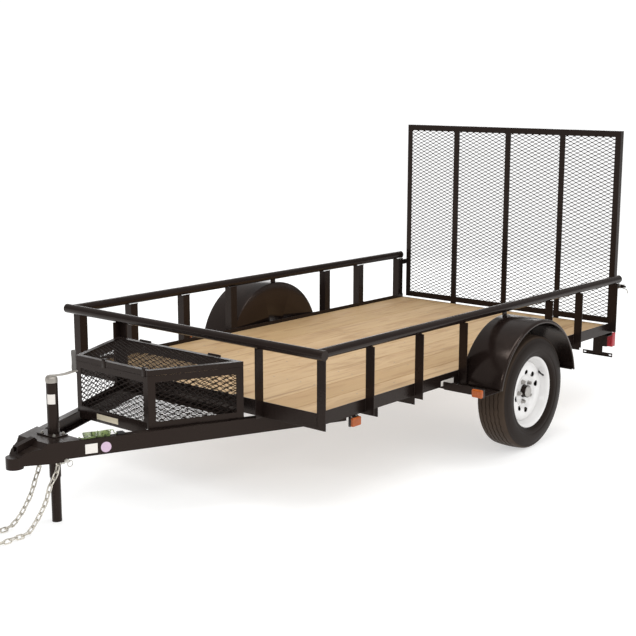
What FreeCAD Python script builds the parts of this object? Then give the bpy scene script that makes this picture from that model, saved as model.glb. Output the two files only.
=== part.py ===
import FreeCAD, Part
import math
import os

import Sketcher
from FreeCAD import Placement, Rotation, Vector

# A single axle utility trailer with a pipe top rail, a plank bed, a mesh ramp
# gate and a mesh basket on its A-frame. It is drawn as it parks: level, on two
# wheels and the foot of its tongue jack.
# Millimetres. X runs forward to the coupler, Y to the left wheel, Z up. The
# origin is on the ground, in the middle of the overall length and width.
# Sizes that end in _at are distances back (bed) or forward (tongue) from the
# front face of the bed.

SIZES = {
    # Bed
    "bed_length": 2870, "bed_width": 1656, "rail_top": 471, "rail_height": 64, "rail_leg": 51,
    "end_rail_height": 76, "steel_wall": 5, "cross_height": 51, "cross_leg": 40,
    "cross_1_at": 445, "cross_2_at": 745, "cross_3_at": 1110, "cross_4_past_axle": 39,
    "plank_thickness": 38, "plank_gap": 2, "plank_count": 9,
    # Posts and top rail
    "pipe_height": 750, "pipe_radius": 24, "pipe_overhang": 44,
    "post_leg": 50, "post_wall": 5, "front_post_out": 500,
    "post_2_at": 352, "post_3_at": 745, "post_4_past_fender": 2, "post_5_past_fender": 79,
    "post_6_spread": 0.441, "last_post_back": 55, "last_post_lift": 25,
    # Tongue and coupler
    "tongue_height": 76, "tongue_flange": 38, "tongue_half_width": 487, "tongue_apex_at": 1155,
    "tongue_tail_at": 415, "tongue_nose_at": 914,
    "coupler_tail_at": 782, "coupler_tail_rake": 68, "coupler_shoulder_at": 922, "coupler_play": 2,
    "coupler_drop": 10, "neck_at": 944, "neck_drop": 21, "brow_at": 1000, "brow_drop": 34,
    "nose_at": 1021, "nose_radius": 38, "nose_drop": 24, "nose_height": 52,
    "ball_radius": 25.4, "ball_play": 0.4, "ball_throat": 22,
    "latch_front_at": 1016, "latch_tip_at": 911, "latch_depth": 30, "latch_width": 30, "latch_wall": 3,
    "latch_nib": 14, "seat_gap": 0.3,
    # Jack
    "jack_at": 813, "jack_tube_radius": 25.5, "jack_tube_wall": 2.5, "jack_tube_top": 640,
    "jack_tube_bottom": 205, "jack_flange": 6, "jack_flange_rear": 30, "jack_flange_ahead": 44,
    "jack_flange_half": 62, "jack_hole_play": 1, "jack_leg_radius": 22, "jack_leg_length": 400,
    "jack_leg_wall": 3, "jack_cap": 22, "crank_reach": 135, "crank_half_width": 12, "crank_bar": 6,
    "crank_grip": 92, "crank_grip_radius": 10,
    # Axle, springs and wheels
    "axle_at": 1531, "axle_radius": 30, "axle_setback": 62, "spindle_radius": 17, "spindle_play": 0.05,
    "spindle_reach": 34, "spring_inset": 25, "spring_span": 640, "spring_width": 40, "spring_leaf": 7,
    "spring_camber": 25, "spring_eye_radius": 14, "spring_short_share": 0.6, "hanger_length": 50,
    "hanger_wall": 5, "hanger_drop": 4,
    "wheel_gap": 47, "tyre_radius": 309, "tyre_width": 186, "tread_half": 80, "shoulder_drop": 14,
    "rim_radius": 187, "barrel_radius": 163, "rim_width": 130, "rim_sheet": 4, "tyre_fit": 0.3,
    "disc_offset": 34, "disc_step": 12, "pad_radius": 82, "crown_radius": 90, "disc_bore_play": 2,
    "slot_circle": 105.6, "slot_length": 24, "slot_height": 9, "slot_pair_turn": 13.2, "slot_half_turn": 18,
    "hub_radius": 33, "hub_flange_radius": 78, "hub_flange": 10, "hub_tail": 52, "hub_cap_reach": 14,
    "hub_bore_depth": 38,
    # Fenders
    "fender_margin": 25, "fender_radius": 400, "fender_sheet": 2, "fender_bottom": 395, "fender_lip": 15,
    "fender_arm_ahead": 138, "fender_arm_inset": 6, "fender_arm_height": 38, "fender_shelf": 3,
    "fender_shelf_gap": 1, "fender_shelf_past": 20, "fender_tab": 40, "fender_tab_sheet": 6,
    "fender_spacer_at": 24, "fender_spacer": 40,
    # Gate
    "gate_side_gap": 13, "gate_height": 1210, "gate_bar": 38, "gate_wall": 4, "gate_gap": 18,
    "gate_bottom": 456, "hinge_drop": 32, "hinge_tube_radius": 11, "hinge_pin_radius": 7,
    "hinge_play": 0.08, "hinge_end_play": 1, "hinge_tube_length": 60, "hinge_ear": 6,
    "keeper_height": 700, "keeper_radius": 12, "keeper_length": 39, "keeper_pin_radius": 7,
    "keeper_pin_gap": 5, "keeper_pin_past": 14, "keeper_strap": 34, "keeper_strap_lap": 30,
    # Basket and lid
    "basket_gap": 68, "basket_length": 415, "basket_front_half": 250, "basket_rear_half": 440,
    "basket_height": 245, "basket_bar": 32, "basket_wall": 3, "lid_bar": 25, "lid_gap": 0.5,
    "lid_hinge_radius": 6.5, "lid_pin_radius": 4, "lid_knuckle": 50, "lid_hinge_out": 242,
    "lid_ear": 12, "lid_ear_height": 40,
    # Mesh
    "mesh_sheet": 3, "mesh_strand": 7, "gate_mesh_long": 268, "gate_mesh_short": 124,
    "basket_mesh_long": 236, "basket_mesh_short": 109, "basket_mesh_border": 27,
    # Lamps and plate bracket
    "tail_lamp_width": 48, "tail_lamp_height": 94, "tail_lamp_depth": 46, "tail_lamp_past": 2,
    "lamp_plate": 5, "lamp_strap": 17, "lamp_strap_lap": 8, "lamp_drop": 80, "lamp_strap_low": 24,
    "marker_at": 300, "marker_length": 64, "marker_depth": 24, "marker_height": 44, "marker_drop": 6,
    "marker_inset": 4, "marker_hang": 8,
    "plate_in": 97.5, "plate_drop": 117, "plate_stem": 67, "plate_stem_low": 30,
    "plate_bar_past_slot": 15, "plate_bar_height": 26, "plate_slot_spacing": 178,
    "plate_slot_length": 20, "plate_slot_radius": 3.5,
    # Chains and harness
    "chain_wire": 7, "chain_pitch": 32, "chain_width": 26, "chain_play": 0.4, "chain_anchor_at": 852,
    "chain_bolt_radius": 3.5, "chain_bolt_gap": 0.5, "chain_rest": 0.25, "chain_reach": 1330,
    "hank_at": 634, "hank_length": 140, "hank_width": 30, "hank_height": 24, "hank_inset": 24,
    "plug_length": 34, "plug_width": 26, "plug_height": 12, "plug_gap": 4,
}


class Size:
    """A length that knows its number and the expression on the sheet that gives it."""

    def __init__(self, text, number):
        self.text = text
        self.number = number

    def __float__(self):
        return float(self.number)

    def __add__(self, other):
        return Size(f"({self.text} + {text_of(other)})", self.number + float(other))

    def __sub__(self, other):
        return Size(f"({self.text} - {text_of(other)})", self.number - float(other))

    def __mul__(self, other):
        return Size(f"{self.text} * {text_of(other)}", self.number * float(other))

    def __truediv__(self, other):
        return Size(f"{self.text} / {text_of(other)}", self.number / float(other))

    def __neg__(self):
        return Size(f"(0 - {self.text})", -self.number)

    def __radd__(self, other):
        return Size(f"({text_of(other)} + {self.text})", float(other) + self.number)

    def __rsub__(self, other):
        return Size(f"({text_of(other)} - {self.text})", float(other) - self.number)

    __rmul__ = __mul__


def text_of(value):
    return value.text if isinstance(value, Size) else str(value)


class Sheet:
    """The driving sizes, one aliased cell each, read back as Size attributes."""

    def __init__(self, doc, sizes):
        cells = doc.addObject("Spreadsheet::Sheet", "Sizes")
        for row, (name, value) in enumerate(sizes.items(), start=1):
            cells.set(f"A{row}", name)
            cells.set(f"B{row}", str(value))
            cells.setAlias(f"B{row}", name)
            setattr(self, name, Size(f"Sizes.{name}", value))


doc = FreeCAD.newDocument("UtilityTrailer")
s = Sheet(doc, SIZES)
doc.recompute()
nodes = []


def bind(thing, **lengths):
    """Tie properties to the sheet. A double underscore in a name stands for a dot."""
    for name, value in lengths.items():
        path = name.replace("__", ".")
        thing.setExpression(path, text_of(value))
    return thing


def place(thing, at, turn=None):
    """Stand a thing at three sizes, turned by a fixed rotation."""
    thing.Placement = Placement(Vector(*(float(c) for c in at)), turn or Rotation())
    return bind(thing, Placement__Base__x=at[0], Placement__Base__y=at[1], Placement__Base__z=at[2])


def box(low, high):
    """A block between two corners."""
    block = doc.addObject("Part::Box", "Block")
    bind(block, Length=high[0] - low[0], Width=high[1] - low[1], Height=high[2] - low[2])
    return place(block, low)


def rod(start, axis, radius, length, angle=None):
    """A round bar from a start point along X, Y or Z."""
    turns = {"x": Rotation(Vector(0, 1, 0), 90), "y": Rotation(Vector(1, 0, 0), -90), "z": Rotation()}
    bar = doc.addObject("Part::Cylinder", "Rod")
    bind(bar, Radius=radius, Height=length)
    if angle:
        bar.Angle = angle
    return place(bar, start, turns[axis])


def fuse(*parts):
    joined = doc.addObject("Part::MultiFuse", "Fuse")
    joined.Shapes = list(parts)
    joined.Refine = True
    return joined


def cut(base, *tools):
    for tool in tools:
        trimmed = doc.addObject("Part::Cut", "Cut")
        trimmed.Base = base
        trimmed.Tool = tool
        trimmed.Refine = True
        base = trimmed
    return base


def group(*parts):
    """Solids of one node that do not touch."""
    held = doc.addObject("Part::Compound", "Group")
    held.Links = list(parts)
    return held


def node(label, thing):
    thing.Label = label
    nodes.append(thing)
    return thing


def feature(shape):
    """A shape that is worked out in code, for forms that the other tools do not make."""
    thing = doc.addObject("Part::Feature", "Form")
    thing.Shape = shape
    return thing


def mirrored(thing):
    """The same piece on the other side of the trailer."""
    twin = doc.addObject("Part::Mirroring", "Twin")
    twin.Source = thing
    twin.Normal = Vector(0, 1, 0)
    return twin


def sketch_on(body, role, loops, circles=()):
    """A sketch on an origin plane of its body, each corner tied to the sheet."""
    plane = next(p for p in body.Origin.OriginFeatures if p.Role == role)
    sketch = body.newObject("Sketcher::SketchObject", body.Name + "Sketch")
    sketch.AttachmentSupport = [(plane, "")]
    sketch.MapMode = "FlatFace"
    for loop in loops:
        first = sketch.GeometryCount
        count = len(loop)
        for i in range(count):
            a, b = loop[i], loop[(i + 1) % count]
            line = Part.LineSegment(Vector(float(a[0]), float(a[1]), 0), Vector(float(b[0]), float(b[1]), 0))
            sketch.addGeometry(line, False)
        for i in range(count):
            here, after = first + i, first + (i + 1) % count
            sketch.addConstraint(Sketcher.Constraint("Coincident", here, 2, after, 1))
            tie(sketch, "DistanceX", here, 1, loop[i][0])
            tie(sketch, "DistanceY", here, 1, loop[i][1])
    for across, up, radius in circles:
        ring = sketch.addGeometry(Part.Circle(Vector(float(across), float(up), 0), Vector(0, 0, 1),
                                              float(radius)), False)
        tie(sketch, "DistanceX", ring, 3, across)
        tie(sketch, "DistanceY", ring, 3, up)
        at = sketch.addConstraint(Sketcher.Constraint("Radius", ring, float(radius)))
        sketch.setExpression(f"Constraints[{at}]", text_of(radius))
    return sketch


def tie(sketch, kind, geometry, point, value):
    at = sketch.addConstraint(Sketcher.Constraint(kind, -1, 1, geometry, point, float(value)))
    sketch.setExpression(f"Constraints[{at}]", text_of(value))


def prism(role, loops, length, circles=()):
    """A padded outline on one of the body's own planes."""
    body = doc.addObject("PartDesign::Body", "Prism")
    sketch = sketch_on(body, role, loops, circles)
    pad = body.newObject("PartDesign::Pad", body.Name + "Pad")
    pad.Profile = sketch
    bind(pad, Length=length)
    return body


def lathe(loop):
    """A turned piece about the Y axis: each corner is (distance along Y, radius)."""
    body = doc.addObject("PartDesign::Body", "Turned")
    sketch = sketch_on(body, "XY_Plane", [[(radius, along) for along, radius in loop]])
    turn = body.newObject("PartDesign::Revolution", body.Name + "Turn")
    turn.Profile = sketch
    turn.ReferenceAxis = (sketch, ["V_Axis"])
    turn.Angle = 360
    return body


# Datums that the sub-parts share
gate_face_gap = s.gate_gap + s.gate_bar
rear_reach = s.bed_length + gate_face_gap
front = (rear_reach - s.chain_reach) / 2
back = front - s.bed_length
side = s.bed_width / 2
rail_base = s.rail_top - s.rail_height
end_rail_base = s.rail_top - s.end_rail_height
deck_base = rail_base + s.steel_wall
deck_top = deck_base + s.plank_thickness
rear_rail_base = deck_top - s.rail_height
pipe_out = side + s.post_leg / 2
pipe_ahead = front + s.post_leg / 2
post_top = s.pipe_height - s.pipe_radius
post_4_at = s.axle_at - s.fender_radius + s.post_4_past_fender
post_5_at = s.axle_at + s.fender_radius + s.post_5_past_fender
last_post_at = s.bed_length - s.last_post_back
post_6_at = post_5_at + (last_post_at - post_5_at) * s.post_6_spread
brace_x = front - post_4_at + s.fender_arm_ahead
axle_x = front - s.axle_at
tyre_plane = side + s.wheel_gap + s.tyre_width / 2
fender_inner = side + s.post_wall
fender_outer = tyre_plane + s.tyre_width / 2 + s.fender_margin
tongue_slope = float(s.tongue_half_width) / float(s.tongue_apex_at)
tongue_angle = math.degrees(math.atan(tongue_slope))
tongue_base = end_rail_base - s.tongue_height
coupler_base = tongue_base - s.coupler_drop
coupler_roof = end_rail_base + s.steel_wall
chain_bolt_z = tongue_base - s.chain_bolt_radius - s.chain_bolt_gap
gate_face = back - s.gate_gap
gate_half = side - s.gate_side_gap
gate_bay = gate_half / 2
gate_top = s.gate_bottom + s.gate_height
gate_axis_x = gate_face - s.gate_bar / 2
gate_axis_z = s.gate_bottom - s.hinge_drop
basket_rear = front + s.basket_gap
basket_base = end_rail_base
basket_top = basket_base + s.basket_height
basket_slope = (float(s.basket_rear_half) - float(s.basket_front_half)) / float(s.basket_length)
basket_sec = math.sqrt(1 + basket_slope * basket_slope)
lid_axis_x = basket_rear - s.lid_hinge_radius - s.lid_gap
lid_base = basket_top + s.lid_gap
lid_axis_z = lid_base + s.lid_bar


def build_side_rail():
    """An angle iron: the upright leg is outside and the planks lie on the other."""
    outline = [(side - s.rail_leg, rail_base), (side, rail_base), (side, s.rail_top),
               (side - s.steel_wall, s.rail_top), (side - s.steel_wall, deck_base),
               (side - s.rail_leg, deck_base)]
    rail = prism("YZ_Plane", [outline], s.bed_length - s.steel_wall * 2)
    place(rail, (back + s.steel_wall, 0, 0))
    node("side_rail_left", rail)
    node("side_rail_right", mirrored(rail))


def build_end_rails():
    upright = box((front - s.steel_wall, -side, end_rail_base), (front, side, s.rail_top))
    leg = box((front - s.rail_leg, -side, end_rail_base), (front, side, end_rail_base + s.steel_wall))
    node("front_rail", fuse(upright, leg))
    upright = box((back, -side, rear_rail_base), (back + s.steel_wall, side, deck_top))
    leg = box((back, -side, rear_rail_base), (back + s.rail_leg, side, rear_rail_base + s.steel_wall))
    node("rear_rail", fuse(upright, leg))


def build_crossmembers():
    bars = []
    inner = side - s.rail_leg
    last = (post_5_at + s.bed_length) / 2
    for at in (s.cross_1_at, s.cross_2_at, s.cross_3_at, s.axle_at + s.cross_4_past_axle, post_5_at, last):
        ahead = front - at
        upright = box((ahead - s.steel_wall, -side, deck_base - s.cross_height), (ahead, side, rail_base))
        flange = box((ahead - s.cross_leg, -inner, rail_base), (ahead, inner, deck_base))
        bars.append(fuse(upright, flange))
    node("crossmembers", group(*bars))


def build_planks():
    inner = side - s.steel_wall - s.plank_gap
    width = (inner * 2 + s.plank_gap) / s.plank_count
    planks = []
    for i in range(int(float(s.plank_count))):
        low = -inner + width * i
        planks.append(box((back + s.steel_wall + s.plank_gap, low, deck_base),
                          (front - s.steel_wall - s.plank_gap, low + width - s.plank_gap, deck_top)))
    node("deck_planks", group(*planks))


def build_posts():
    """Angle iron stakes whose free leg stands out under the pipe."""
    posts = []
    for at in (0, s.post_2_at, s.post_3_at, post_4_at, post_5_at, post_6_at, last_post_at):
        low = end_rail_base + s.last_post_lift if at is last_post_at else end_rail_base
        ahead = front - at
        fixed = box((ahead - s.post_leg, side, low), (ahead, side + s.post_wall, post_top))
        free = box((ahead - s.post_wall, side, low), (ahead, side + s.post_leg, post_top))
        posts.append(fuse(fixed, free))
    left = group(*posts)
    node("posts_left", left)
    node("posts_right", mirrored(left))
    out = s.front_post_out
    fixed = box((front, out - s.post_leg, end_rail_base), (front + s.post_wall, out, post_top))
    free = box((front, out - s.post_wall, end_rail_base), (front + s.post_leg, out, post_top))
    left = fuse(fixed, free)
    node("posts_front", group(left, mirrored(left)))


def build_top_rail():
    """Three pipes with plugged ends, closed all round."""
    half = pipe_out + s.pipe_overhang
    pipes = [rod((pipe_ahead, -half, s.pipe_height), "y", s.pipe_radius, half * 2)]
    for out in (pipe_out, -pipe_out):
        pipes.append(rod((back, out, s.pipe_height), "x", s.pipe_radius, pipe_ahead - back))
    node("top_rail", fuse(*pipes))


def tongue_out(at):
    """How far out the web of a tongue channel is, at a distance ahead of the bed."""
    return s.tongue_half_width - at * tongue_slope


def build_tongue():
    """Two channels that meet under the coupler, their webs outside."""
    high, deep, wall = s.tongue_height, s.tongue_flange, s.steel_wall
    outline = [(0, 0), (0, high), (-deep, high), (-deep, high - wall), (-wall, high - wall),
               (-wall, wall), (-deep, wall), (-deep, 0)]
    length = (s.tongue_tail_at + s.tongue_nose_at) / math.cos(math.radians(tongue_angle))
    tail = (front - s.tongue_tail_at, s.tongue_half_width + s.tongue_tail_at * tongue_slope, tongue_base)
    member = prism("YZ_Plane", [outline], length)
    place(member, tail, Rotation(Vector(0, 0, 1), -tongue_angle))
    node("tongue_left", member)
    node("tongue_right", mirrored(member))


def side_prism(loop, half_width):
    """An outline of (ahead of the bed, height) corners, as wide to the left as to the right."""
    block = prism("XZ_Plane", [loop], half_width * 2)
    return place(block, (front, half_width, 0))


def build_coupler():
    """A pressed A-frame coupler over both channels, with its ball socket in the nose."""
    wall = s.steel_wall
    tail, shoulder, nose = s.coupler_tail_at, s.coupler_shoulder_at, s.nose_at
    tail_out, shoulder_out = tongue_out(tail) + wall, tongue_out(shoulder) + wall
    plan = [(tail, -tail_out), (shoulder, -shoulder_out), (nose, -s.nose_radius),
            (nose, s.nose_radius), (shoulder, shoulder_out), (tail, tail_out)]
    high = coupler_roof - coupler_base
    seen_above = place(prism("XY_Plane", [plan], high), (front, 0, coupler_base))
    nose_base = coupler_base - s.nose_drop + s.coupler_drop
    nose_top = nose_base + s.nose_height
    profile = [(tail + s.coupler_tail_rake, coupler_base), (nose, coupler_base), (nose, nose_top),
               (s.brow_at, coupler_roof - s.brow_drop), (s.neck_at, coupler_roof - s.neck_drop),
               (shoulder, coupler_roof), (tail, coupler_roof)]
    seen_aside = side_prism(profile, tail_out)
    shell = doc.addObject("Part::MultiCommon", "Pressing")
    shell.Shapes = [seen_above, seen_aside]
    tip = rod((front + nose, 0, nose_base), "z", s.nose_radius, s.nose_height)
    inside = s.tongue_nose_at + s.coupler_play
    inner = [(inside, -tongue_out(inside)), (inside, tongue_out(inside)), (tail, tongue_out(tail)),
             (tail, -tongue_out(tail))]
    hollow = place(prism("XY_Plane", [inner], high - wall), (front, 0, coupler_base))
    throat = rod((front + nose, 0, nose_base), "z", s.ball_radius + s.ball_play, s.ball_throat)
    jack_hole = rod((front + s.jack_at, 0, coupler_roof - wall), "z",
                    s.jack_tube_radius + s.jack_hole_play, wall)
    reach = tongue_out(s.chain_anchor_at) + wall
    bolt = rod((front + s.chain_anchor_at, -reach, chain_bolt_z), "y", s.chain_bolt_radius, reach * 2)
    node("coupler", fuse(cut(fuse(shell, tip), hollow, throat, jack_hole), bolt))


def build_latch():
    """A channel shaped lever on the neck, its tail bent up off the roof."""
    slope = (float(s.brow_drop) - float(s.neck_drop)) / (float(s.brow_at) - float(s.neck_at))
    low = coupler_roof - s.neck_drop + s.seat_gap
    toe, tip, nib = s.latch_front_at, s.latch_tip_at, s.latch_nib
    heel = s.neck_at + s.latch_wall
    toe_low = low - (toe - s.neck_at) * slope
    tip_high = toe_low + s.latch_depth + (toe - tip - nib) * slope
    seat = coupler_roof + s.seat_gap
    outer = [(toe, toe_low), (toe, toe_low + s.latch_depth), (tip + nib, tip_high), (tip, seat),
             (s.coupler_shoulder_at + s.seat_gap, seat), (heel, low - s.latch_wall * slope)]
    below = s.latch_wall
    inner = [(toe, toe_low - below), (toe, toe_low + s.latch_depth - below),
             (tip + nib * 2, tip_high - below * 2), (tip + nib * 2, seat - below), (heel, low - below * 2)]
    lever = side_prism(outer, s.latch_width / 2)
    channel = side_prism(inner, s.latch_width / 2 - s.latch_wall)
    node("coupler_latch", cut(lever, channel))


def build_jack():
    at = front + s.jack_at
    height = s.jack_tube_top - s.jack_tube_bottom
    tube = rod((at, 0, s.jack_tube_bottom), "z", s.jack_tube_radius, height)
    flange = box((at - s.jack_flange_rear, -s.jack_flange_half, coupler_roof),
                 (at + s.jack_flange_ahead, s.jack_flange_half, coupler_roof + s.jack_flange))
    bore = rod((at, 0, s.jack_tube_bottom), "z", s.jack_tube_radius - s.jack_tube_wall, height)
    node("jack_tube", cut(fuse(tube, flange), bore))
    leg = rod((at, 0, 0), "z", s.jack_leg_radius, s.jack_leg_length)
    inside = rod((at, 0, s.jack_leg_wall), "z", s.jack_leg_radius - s.jack_leg_wall,
                 s.jack_leg_length - s.jack_leg_wall)
    node("jack_leg", cut(leg, inside))
    cap = rod((at, 0, s.jack_tube_top), "z", s.jack_tube_radius, s.jack_cap)
    lid = s.jack_tube_top + s.jack_cap
    grip_at = at - s.crank_reach + s.crank_half_width
    arm = box((at - s.crank_reach, -s.crank_half_width, lid),
              (at + s.crank_half_width, s.crank_half_width, lid + s.crank_bar))
    grip = rod((grip_at, 0, lid + s.crank_bar), "z", s.crank_grip_radius, s.crank_grip)
    node("jack_crank", fuse(cap, arm, grip))


def build_axle():
    """A round beam with a spindle at each end."""
    shoulder = tyre_plane - s.axle_setback
    beam = rod((axle_x, -shoulder, s.tyre_radius), "y", s.axle_radius, shoulder * 2)
    tip = tyre_plane + s.spindle_reach
    spindle = rod((axle_x, -tip, s.tyre_radius), "y", s.spindle_radius, tip * 2)
    node("axle_beam", fuse(beam, spindle))


def build_springs():
    """Two leaves each side over the axle, the long one ending in an eye between two hanger plates."""
    camber, span = float(s.spring_camber), float(s.spring_span)
    bend = span * span / (8 * camber)
    top = s.tyre_radius + s.axle_radius + s.spring_leaf * 2
    near = side - s.spring_inset - s.spring_width / 2
    start = (axle_x, near, top + bend)
    pack = []
    for i, share in enumerate((1.0, float(s.spring_short_share))):
        angle = 2 * math.degrees(math.asin(span / 2 * share / bend))
        turn = Rotation(Vector(0, 1, 0), 90 - angle / 2) * Rotation(Vector(1, 0, 0), -90)
        outer = rod(start, "y", bend + s.spring_leaf * (i + 1), s.spring_width, angle)
        place(outer, start, turn)
        inner = rod(start, "y", bend + s.spring_leaf * i, s.spring_width)
        pack.append(cut(outer, inner))
    eye_z = top + s.spring_camber
    hangers = []
    for way in (1, -1):
        eye_x = axle_x + s.spring_span / 2 * way
        pack.append(rod((eye_x, near, eye_z), "y", s.spring_eye_radius, s.spring_width))
        low = eye_z - s.spring_eye_radius - s.hanger_drop
        for out in (near - s.hanger_wall, near + s.spring_width):
            hangers.append(box((eye_x - s.hanger_length / 2, out, low),
                               (eye_x + s.hanger_length / 2, out + s.hanger_wall, rail_base)))
    left = fuse(*pack)
    node("leaf_springs", group(left, mirrored(left)))
    left = group(*hangers)
    node("spring_hangers", group(left, mirrored(left)))


def build_rim():
    """A barrel with a disc in it: a flat pad round the hub, a raised crown and paired slots."""
    half = s.rim_width / 2
    barrel = [(-half, s.barrel_radius), (-half, s.rim_radius), (half, s.rim_radius), (half, s.barrel_radius)]
    crown = s.disc_offset
    pad = crown - s.disc_step
    eye = s.hub_radius + s.disc_bore_play
    rear = pad - s.rim_sheet
    disc = [(rear, eye), (rear, s.barrel_radius), (crown, s.barrel_radius), (crown, s.crown_radius),
            (pad, s.pad_radius), (pad, eye)]
    slots = []
    for pair in (0, 180):
        for way in (1, -1):
            slot = group(box((-s.slot_length / 2, rear, s.slot_circle - s.slot_height / 2),
                             (s.slot_length / 2, crown, s.slot_circle + s.slot_height / 2)))
            angle = pair + s.slot_pair_turn + s.slot_half_turn * way
            slot.Placement = Placement(Vector(), Rotation(Vector(0, 1, 0), -float(angle)))
            slots.append(slot)
    return cut(fuse(lathe(barrel), lathe(disc)), group(*slots))


def build_tyre():
    wide = s.tyre_width / 2
    shoulder = s.tyre_radius - s.shoulder_drop
    seat = s.rim_radius + s.tyre_fit
    return lathe([(-wide, seat), (-wide, shoulder), (-s.tread_half, s.tyre_radius),
                  (s.tread_half, s.tyre_radius), (wide, shoulder), (wide, seat)])


def build_hub():
    """A bored barrel with a closed cap and the five-sided flange that the disc bolts to."""
    bore = s.spindle_radius + s.spindle_play
    face = s.disc_offset - s.disc_step - s.rim_sheet
    cap = s.disc_offset + s.hub_cap_reach
    barrel = lathe([(-s.hub_tail, bore), (-s.hub_tail, s.hub_radius), (cap, s.hub_radius), (cap, 0),
                    (s.hub_bore_depth, 0), (s.hub_bore_depth, bore)])
    corners = []
    for i in range(5):
        turn = math.radians(72 * i)
        corners.append((s.hub_flange_radius * math.sin(turn), s.hub_flange_radius * math.cos(turn)))
    flange = place(prism("XZ_Plane", [corners], s.hub_flange), (0, face, 0))
    eye = rod((0, face - s.hub_flange, 0), "y", bore, s.hub_flange)
    return fuse(barrel, cut(flange, eye))


def build_wheels():
    for name, left in (("rim", build_rim()), ("tyre", build_tyre()), ("hub", build_hub())):
        place(left, (axle_x, tyre_plane, s.tyre_radius))
        node(name + "_left", left)
        node(name + "_right", mirrored(left))


def build_fenders():
    """A half round of sheet steel with a closed back and a lip turned in at the front edge."""
    width = fender_outer - fender_inner
    centre = s.tyre_radius
    whole = rod((axle_x, fender_inner, centre), "y", s.fender_radius, width)
    hollow = rod((axle_x, fender_inner + s.fender_sheet, centre), "y", s.fender_radius - s.fender_sheet,
                 width - s.fender_sheet * 2)
    mouth = rod((axle_x, fender_outer - s.fender_sheet, centre), "y", s.fender_radius - s.fender_lip,
                s.fender_sheet)
    reach = s.fender_radius + s.fender_margin
    below = box((axle_x - reach, fender_inner, centre - reach),
                (axle_x + reach, fender_outer, s.fender_bottom))
    left = cut(whole, hollow, mouth, below)
    node("fender_left", left)
    node("fender_right", mirrored(left))


def build_fender_brackets():
    """The arm and shelf ahead of the fender, a tab up to the pipe and a spacer on the rail."""
    sheet = s.steel_wall
    out = fender_outer - s.fender_arm_inset
    arm = box((brace_x - sheet, side, s.fender_bottom),
              (brace_x, out, s.fender_bottom + s.fender_arm_height))
    shelf = box((front - post_4_at - s.fender_shelf_past, side + sheet + s.fender_shelf_gap,
                 s.fender_bottom - s.fender_shelf), (brace_x, out, s.fender_bottom))
    crown = s.tyre_radius + s.fender_radius
    half_tab, half_sheet = s.fender_tab / 2, s.fender_tab_sheet / 2
    tab = box((axle_x - half_tab, pipe_out - half_sheet, crown),
              (axle_x + half_tab, pipe_out + half_sheet, post_top))
    start = axle_x - s.fender_radius + s.fender_spacer_at
    spacer = box((start, side, rail_base), (start + s.fender_spacer, fender_inner, s.rail_top))
    left = group(fuse(arm, shelf), tab, spacer)
    node("fender_brackets", group(left, mirrored(left)))


def build_tail_lamps():
    """A lamp behind each rear corner, on a strap from the rear rail."""
    high = s.rail_top - s.lamp_drop + s.lamp_plate * 2
    low = high - s.tail_lamp_height
    far = side + s.tail_lamp_past
    near = far - s.tail_lamp_width
    lens_face = back - s.lamp_plate
    lamp = box((lens_face - s.tail_lamp_depth, near, low), (lens_face, far, high))
    node("tail_lamps", group(lamp, mirrored(lamp)))
    strap = box((lens_face, near - s.lamp_strap, low),
                (back, near + s.lamp_strap_lap, deck_top - s.lamp_strap_low))
    node("tail_lamp_plates", group(strap, mirrored(strap)))


def build_marker_lamps():
    """One under each side rail and one on each fender arm."""
    at = front - s.marker_at
    face = side - s.marker_inset
    high = rail_base - s.marker_drop
    first = box((at, face, high - s.marker_height), (at + s.marker_length, face + s.marker_depth, high))
    out = fender_outer - s.fender_arm_inset
    low = s.fender_bottom - s.marker_hang
    second = box((brace_x, out - s.marker_length, low),
                 (brace_x + s.marker_depth, out, low + s.marker_height))
    left = group(first, second)
    node("marker_lamps", group(left, mirrored(left)))
    plate = box((at, face - s.lamp_plate, high - s.marker_height), (at + s.marker_length, face, rail_base))
    node("marker_plates", group(plate, mirrored(plate)))


def build_plate_bracket():
    """A hanging strip with a slotted bar for a registration plate."""
    middle = side - s.plate_in
    high = rear_rail_base - s.plate_drop
    low = high - s.plate_bar_height
    rear = back - s.lamp_plate
    half_stem = s.plate_stem / 2
    stem = box((rear, middle - half_stem, low), (back, middle + half_stem, deck_top - s.plate_stem_low))
    half_bar = s.plate_slot_spacing / 2 + s.plate_bar_past_slot
    bar = box((rear, middle - half_bar, low), (back, middle + half_bar, high))
    level = high - s.plate_bar_height / 2
    run = s.plate_slot_length - s.plate_slot_radius * 2
    slots = []
    for way in (1, -1):
        centre = middle + s.plate_slot_spacing / 2 * way
        slots.append(box((rear, centre - run / 2, level - s.plate_slot_radius),
                         (back, centre + run / 2, level + s.plate_slot_radius)))
        for end in (1, -1):
            slots.append(rod((rear, centre + run / 2 * end, level), "x", s.plate_slot_radius, s.lamp_plate))
    node("plate_bracket", cut(fuse(stem, bar), fuse(*slots)))


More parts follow.
